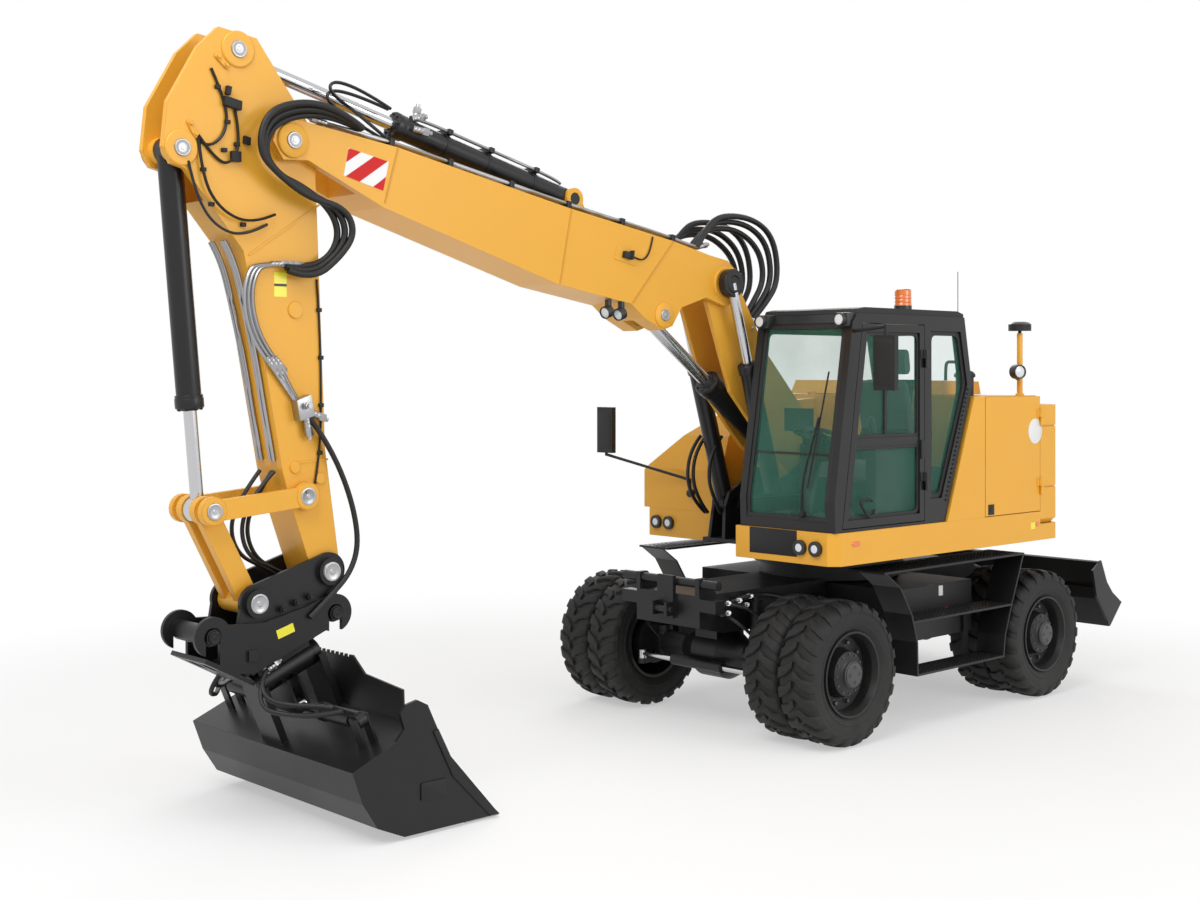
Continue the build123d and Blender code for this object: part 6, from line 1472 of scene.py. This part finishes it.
block_parts = [
    slab([(3.26, 2.36), (3.36, 2.33), (3.385, 2.45), (3.285, 2.485)], STICK_SIDE, STICK_SIDE + 0.07, 0.004),
    (coupling(0.016), aimed((3.27, STICK_SIDE + 0.035, 2.38), (-1, 0, -0.4))),
    (coupling(0.016), aimed((3.30, STICK_SIDE + 0.035, 2.345), (-0.2, 0, -1))),
    (coupling(0.014), aimed((3.32, STICK_SIDE + 0.06, 2.42), (0.1, 1, 0.0)) @ Matrix.Diagonal((1, 1, 0.5, 1))),
]
piece("valve_block", block_parts, "stick", bright_steel, smooth=30)

loom, clips = [], []
front_edge = [(3.175, 3.16), (3.155, 2.9), (3.145, 2.5), (3.15, 2.157), (3.19, 1.95)]
for side in (-1, 1):
    loom.append(pipe([(x + 0.035, side * (STICK_SIDE + 0.008), z) for x, z in front_edge], 0.0065, sides=8))
    for x, z in ((3.16, 2.98), (3.148, 2.70), (3.146, 2.42), (3.155, 2.14)):
        low, high = sorted((side * STICK_SIDE, side * (STICK_SIDE + 0.018)))
        clips.append(box(x + 0.02, x + 0.05, low, high, z - 0.012, z + 0.012, 0.003))
for points in (
    [(3.90, 0.148, 4.31), (3.80, 0.150, 4.12), (3.81, 0.150, 3.95), (3.92, 0.150, 3.86), (3.97, 0.146, 3.90)],
    [(3.76, 0.148, 4.14), (3.72, 0.155, 3.95), (3.76, 0.155, 3.80), (3.86, 0.152, 3.78), (3.98, 0.150, 3.93)],
    [(3.98, 0.150, 3.93), (3.97, 0.170, 3.70), (3.86, 0.175, 3.52), (3.66, 0.172, 3.45), (3.50, 0.165, 3.52)],
    [(4.04, 0.150, 3.78), (4.00, 0.165, 3.58), (3.88, 0.170, 3.42), (3.70, 0.168, 3.38), (3.55, 0.160, 3.46)],
):
    loom.append(pipe(points, 0.0085, sides=10))
for x, z in ((3.86, 4.21), (3.80, 4.02), (3.82, 3.86), (3.95, 3.74), (3.74, 3.90), (3.90, 3.55), (3.70, 3.45)):
    clips.append(box(x - 0.016, x + 0.016, STICK_SIDE, STICK_SIDE + 0.022, z - 0.012, z + 0.012, 0.004))
clips.append(
    slab([(3.72, 4.09), (3.83, 4.11), (3.825, 4.165), (3.715, 4.145)], STICK_SIDE, STICK_SIDE + 0.035, 0.006)
)
clips.append(
    slab([(3.785, 4.17), (3.815, 4.175), (3.805, 4.225), (3.775, 4.22)], STICK_SIDE, STICK_SIDE + 0.025, 0.004)
)
clips.append(
    slab([(3.66, 3.90), (3.70, 3.91), (3.695, 3.955), (3.655, 3.945)], STICK_SIDE, STICK_SIDE + 0.025, 0.004)
)
clips.append(
    slab([(3.72, 3.80), (3.78, 3.80), (3.78, 3.86), (3.72, 3.86)], STICK_SIDE, STICK_SIDE + 0.03, 0.004)
)
piece("stick_loom", loom, "stick", hose_rubber, smooth=60)
piece("stick_clips", clips, "stick", black_plastic, smooth=35)
sticker = slab([(3.493, 3.190), (3.41, 3.190), (3.41, 3.05), (3.493, 3.05)], STICK_SIDE, STICK_SIDE + 0.0012)
piece("stick_label", sticker, "stick", blank_yellow)
piece(
    "stick_label_band",
    slab(
        [(3.493, 3.11), (3.41, 3.11), (3.41, 3.125), (3.493, 3.125)], STICK_SIDE + 0.0011, STICK_SIDE + 0.0016,
    ),
    "stick", black_vinyl,
)

# Pipes down the front face of the stick, under the bucket cylinder
front_pipes = []
for y in (-0.085, -0.05, 0.05, 0.085):
    front_pipes.append(pipe(
        [(3.78, y, 3.36), (3.715, y, 3.26), (3.645, y, 3.0), (3.575, y, 2.7), (3.50, y, 2.3), (3.46, y, 2.1)],
        0.011,
    ))
piece("stick_front_pipes", front_pipes, "stick", bright_steel, smooth=60)

# Ribbed hose that hangs from the valve block down to the coupler
ribbed = piece(
    "ribbed_hose",
    pipe(
        [
            (3.29, 0.175, 2.36), (3.22, 0.185, 2.28), (3.08, 0.195, 2.05), (2.985, 0.20, 1.80),
            (2.955, 0.205, 1.58), (3.02, 0.21, 1.42), (3.16, 0.215, 1.30), (3.30, 0.215, 1.19),
        ],
        0.017, sides=12,
    ),
    None, hose_rubber, smooth=60,
)
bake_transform(ribbed)


# Cylinders of the arm. Black painted barrels with a bolted head, a wiper seal round the polished rod,
# and steel feed pipes that are strapped along them.

wear(["stick_cylinder_barrel", "bucket_cylinder_barrel"], cab_black)
wear(["stick_cylinder_rod", "bucket_cylinder_rod"], chrome)


def gland(base, eye, length, radius, rod_radius, y=0.0):
    """The bolted head of a cylinder, at the mouth of its barrel."""
    way = Vector((eye[0] - base[0], 0, eye[1] - base[1])).normalized()
    mouth = Vector((base[0], y, base[1])) + way * length
    stand = aimed(mouth, way)
    head = turned(
        [
            (rod_radius + 0.001, 0.016), (rod_radius + 0.012, 0.016), (rod_radius + 0.014, 0.008),
            (radius * 1.1, 0.004), (radius * 1.14, 0.0), (radius * 1.16, -0.004), (radius * 1.16, -0.05),
            (radius * 1.13, -0.055),
        ],
        sides=40,
    )
    bolts = grown(hexagon_head(0.018, 0.012), COPIES_ROUND, Count=8, Radius=radius * 0.93, Finish=black_paint)
    return [(head, stand), (bolts, stand @ Matrix.Translation((0, 0, 0.004)))]


STICK_CYLINDER_FOOT = (1.1075, 3.8)
LINK_PIN = (3.9005, 1.838)
ARM = {
    "lift_barrels": ((-0.7925, 1.6), LIFT_EYE, 1.12, 0.068, 0.038, (-0.262, 0.262)),
    "adjust_barrel": ((-0.9625, 2.06), ADJUST_EYE, 0.82, 0.088, 0.048, (0.0,)),
    "stick_barrel": (STICK_CYLINDER_FOOT, STICK_CYLINDER_EYE, 1.5, 0.074, 0.042, (0.0,)),
    "bucket_barrel": (BUCKET_CYLINDER_FOOT, LINK_PIN, 1.44, 0.070, 0.038, (0.0,)),
}
for body, (base, eye, length, radius, rod_radius, ys) in ARM.items():
    parts = [part for y in ys for part in gland(base, eye, length, radius, rod_radius, y)]
    piece(f"{body}_gland", parts, body, cab_black, smooth=35)

# Feed pipes strapped to the stick cylinder, with their ports
base = Vector((STICK_CYLINDER_FOOT[0], 0, STICK_CYLINDER_FOOT[1]))
eye = Vector((STICK_CYLINDER_EYE[0], 0, STICK_CYLINDER_EYE[1]))
way = (eye - base).normalized()
up = Vector((-way.z, 0, way.x))
feeds = []
for y, reach in ((0.05, 1.40), (-0.05, 0.5)):
    lift = up * 0.088
    feeds.append(pipe(
        [
            base + way * 0.12 + up * 0.07 + Vector((0, y, 0)), base + way * 0.16 + lift + Vector((0, y, 0)),
            base + way * 0.6 * reach + lift + Vector((0, y, 0)),
            base + way * (reach - 0.04) + lift + Vector((0, y, 0)),
            base + way * reach + up * 0.07 + Vector((0, y, 0)),
        ],
        0.011,
    ))
piece("stick_cylinder_pipes", feeds, "stick_barrel", bright_steel, smooth=60)
port = [
    (coupling(0.016), aimed(base + way * 1.40 + up * 0.07 + Vector((0, 0.04, 0)), way * -1 + up * 0.5)),
    (coupling(0.016), aimed(base + way * 1.32 + up * 0.08 + Vector((0, -0.03, 0)), up)),
    (coupling(0.016), aimed(base + way * 1.40 + Vector((0, 0.085, 0)), (-0.9, 0.35, -0.2))),
]
piece("stick_cylinder_ports", port, "stick_barrel", bright_steel, smooth=35)
straps = []
for reach in (0.35, 0.75, 1.1):
    spin = Matrix.Translation(base + way * reach) @ way.to_track_quat("Z", "Y").to_matrix().to_4x4()
    straps.append((turned([(0.0745, 0.014), (0.080, 0.012), (0.080, -0.012), (0.0745, -0.014)], sides=36), spin))
    straps.append((box(-0.018, 0.018, -0.07, 0.07, 0.070, 0.106, 0.004),
                   Matrix.Translation(base + way * reach) @ Matrix.Rotation(-math.atan2(way.z, way.x), 4, "Y")))
piece("stick_cylinder_straps", straps, "stick_barrel", black_paint, smooth=35)

# Two thin hoses curl from the boom's pipes to the stick cylinder's head
for number, (y, rise) in enumerate(((0.10, 0.0), (0.13, 0.05))):
    curl = piece(
        f"stick_cylinder_hose_{number}",
        pipe(
            [
                (2.70, y + 0.02, 4.03), (2.92, y + 0.03, 4.11 + rise), (3.14, y + 0.03, 4.22 + rise),
                (3.10, y + 0.02, 4.30 + rise), (2.86, y, 4.28 + rise * 0.6), (2.66, y * 0.9, 4.23),
            ],
            0.0105, sides=10,
        ),
        None, hose_rubber, smooth=60,
    )
    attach(curl, "upper_boom")


# Linkage. The yellow lever and the cast link that curl the tool. They turn on polished pins whose
# round faces show on both sides.

wear(["rocker", "power_link"], yellow_paint)
LEVER_PIN = (3.2915, 1.891)
lever_faces = []
for side in (-1, 1):
    for x, z, y, radius in ((*LEVER_PIN, 0.186, 0.078), (*LINK_PIN, 0.186, 0.078)):
        lever_faces.append((
            turned([(radius * 0.7, 0.004), (radius * 0.96, 0.003), (radius, 0.0)], sides=36, ends=True),
            aimed((x, side * y, z), (0, side, 0)),
        ))
piece("lever_faces", lever_faces, "rocker", yellow_paint, smooth=35)
piece(
    "lever_pins",
    [
        (mesh, Matrix.Translation((0, 0.004 if k == 0 else -0.004, 0)) @ place)
        for k, (mesh, place) in enumerate(pin_ends(*LEVER_PIN, 0.186, 0.055))
    ],
    "rocker", pin_steel, smooth=35,
)
piece("link_pins", joined(pin_ends(*LINK_PIN, 0.187, 0.05)), "power_link", pin_steel, smooth=35)


# Quick coupler. Black profiled plates on the stick's pins, hooked round the tool's two cross pins, with
# polished pin faces, blank yellow labels and hoses that feed the tilt cylinders.

tool_black = surface(
    "tool_black", (0.0075, 0.0075, 0.008), 0.38, spread=0.2, grain=0.2, grain_size=260, dust=0.03, edge=0.004,
    gloss=0.35,
)
wear(["coupler", "bucket", "tilt_barrel_left", "tilt_barrel_right"], tool_black)
wear(["tilt_rod_left", "tilt_rod_right"], chrome)
COUPLER_PIN = (3.1415, 1.442)
LINK_FOOT_PIN = (3.6245, 1.300)
coupler_pins = (
    pin_ends(*COUPLER_PIN, 0.203, 0.06) + pin_ends(*LINK_FOOT_PIN, 0.198, 0.06)
)
piece("coupler_pins", coupler_pins, "coupler", pin_steel, smooth=35)
hook_faces = pin_ends(3.1125, 1.195, 0.210, 0.036) + pin_ends(3.9155, 1.143, 0.210, 0.036)
piece("hook_pins", hook_faces, "coupler", tool_black, smooth=35)
SLOPE = math.radians(22.5)
tool_x = Vector((math.cos(SLOPE), 0, -math.sin(SLOPE)))
tool_z = Vector((math.sin(SLOPE), 0, math.cos(SLOPE)))
tool_middle = Vector((3.5375, 0, 0.792))


def on_tool(x, y, z):
    """A place on the tool's sloping plane, in the machine's own coordinates."""
    return tool_middle + tool_x * x + Vector((0, y, 0)) + tool_z * z


labels = []
for x in (0.02, -0.09):
    labels.append((box(-0.045, 0.045, 0.173, 0.1745, -0.022, 0.022, 0.0),
                   Matrix.Translation(on_tool(x, 0, 0.172)) @ Matrix.Rotation(SLOPE, 4, "Y")))
piece("coupler_labels", labels, "coupler", blank_yellow)
plate_bolts = []
for side in (-1, 1):
    for share in (0.36, 0.55, 0.74):
        x, z = 3.1415 + 0.483 * share - 0.03, 1.442 - 0.142 * share - 0.084
        plate_bolts.append((hexagon_head(0.030, 0.018), aimed((x, side * 0.202, z), (0, side, 0))))
    for x, y in ((-0.38, 0.15), (-0.25, 0.15), (0.04, 0.15)):
        plate_bolts.append((hexagon_head(0.026, 0.02), aimed(on_tool(x, side * y * 0.97, 0.146), -tool_z)))
piece("coupler_bolts", plate_bolts, "coupler", tool_black, smooth=35)
small_label = slab([(3.50, 1.085), (3.39, 1.118), (3.405, 1.168), (3.515, 1.135)], 0.1982, 0.1995)
piece("coupler_plate_mark", small_label, "coupler", blank_yellow)

# Hoses to the tilt cylinders, and steel ends where they meet the coupler
tilt_ends = []
for side in (-1, 1):
    for number, (spread, drop) in enumerate(((0.0, 0.0), (0.05, 0.03))):
        tilt_hose = piece(
            f"tilt_hose_{'left' if side > 0 else 'right'}_{number}",
            pipe(
                [
                    on_tool(-0.02, side * 0.18, 0.12), on_tool(0.06, side * 0.22, 0.10),
                    on_tool(0.10 + spread, side * 0.29, 0.02 - drop),
                    on_tool(0.02 + spread, side * 0.38, -0.05 - drop),
                    on_tool(-0.08 + spread, side * (0.50 + spread), -0.09 - drop),
                    on_tool(-0.13, side * (0.56 + spread * 2), -0.125),
                ],
                0.0145, sides=12,
            ),
            None, hose_rubber, smooth=60,
        )
        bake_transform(tilt_hose)
    tilt_ends.append((coupling(0.016), aimed(on_tool(-0.02, side * 0.18, 0.12), (-0.9, side * -0.3, 0.35))))
piece("tilt_hose_ends", tilt_ends, "coupler", bright_steel, smooth=35)
for number, (y, bow) in enumerate(((0.06, 0.0), (0.085, 0.05), (-0.07, 0.02))):
    loop = piece(
        f"tool_hose_{number}",
        pipe(
            [
                (3.46, y, 2.04), (3.56 + bow, y, 1.90), (3.64 + bow, y * 1.1, 1.72),
                (3.58 + bow, y * 1.1, 1.55), (3.44, y, 1.47), (3.36, y, 1.42),
            ],
            0.0125, sides=10,
        ),
        None, hose_rubber, smooth=60,
    )
    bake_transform(loop)


# Tilting bucket. A wide black shell of rolled plate with a blank panel and a welded strip on each
# cheek, and a bright worn cutting edge along its lip.

bucket_parts = []
for side in (-1, 1):
    low, high = sorted((side * 0.88, side * 0.888))
    frame_outline = [
        (SWING_X + 4.56, 0.20), (SWING_X + 4.74, 0.20), (SWING_X + 4.74, 0.30), (SWING_X + 4.56, 0.30),
    ]
    outer = rounded_outline(frame_outline, 0.012)
    bucket_parts.append(slab(outer, low, high, 0.002))
    edge_strip = [
        (SWING_X + 4.17, 0.022), (SWING_X + 4.48, 0.32), (SWING_X + 4.62, 0.59), (SWING_X + 4.655, 0.578),
        (SWING_X + 4.515, 0.30), (SWING_X + 4.24, 0.022),
    ]
    bucket_parts.append(slab(edge_strip, low, high, 0.001))
piece("bucket_cheek_plates", bucket_parts, "bucket", tool_black, smooth=35)
piece(
    "bucket_edge",
    [
        slab(
            [
                (SWING_X + 4.168, 0.012), (SWING_X + 4.42, 0.012), (SWING_X + 4.42, 0.0195),
                (SWING_X + 4.18, 0.0195),
            ],
            -0.878, 0.878, 0.001,
        )
    ],
    "bucket", pin_steel,
)
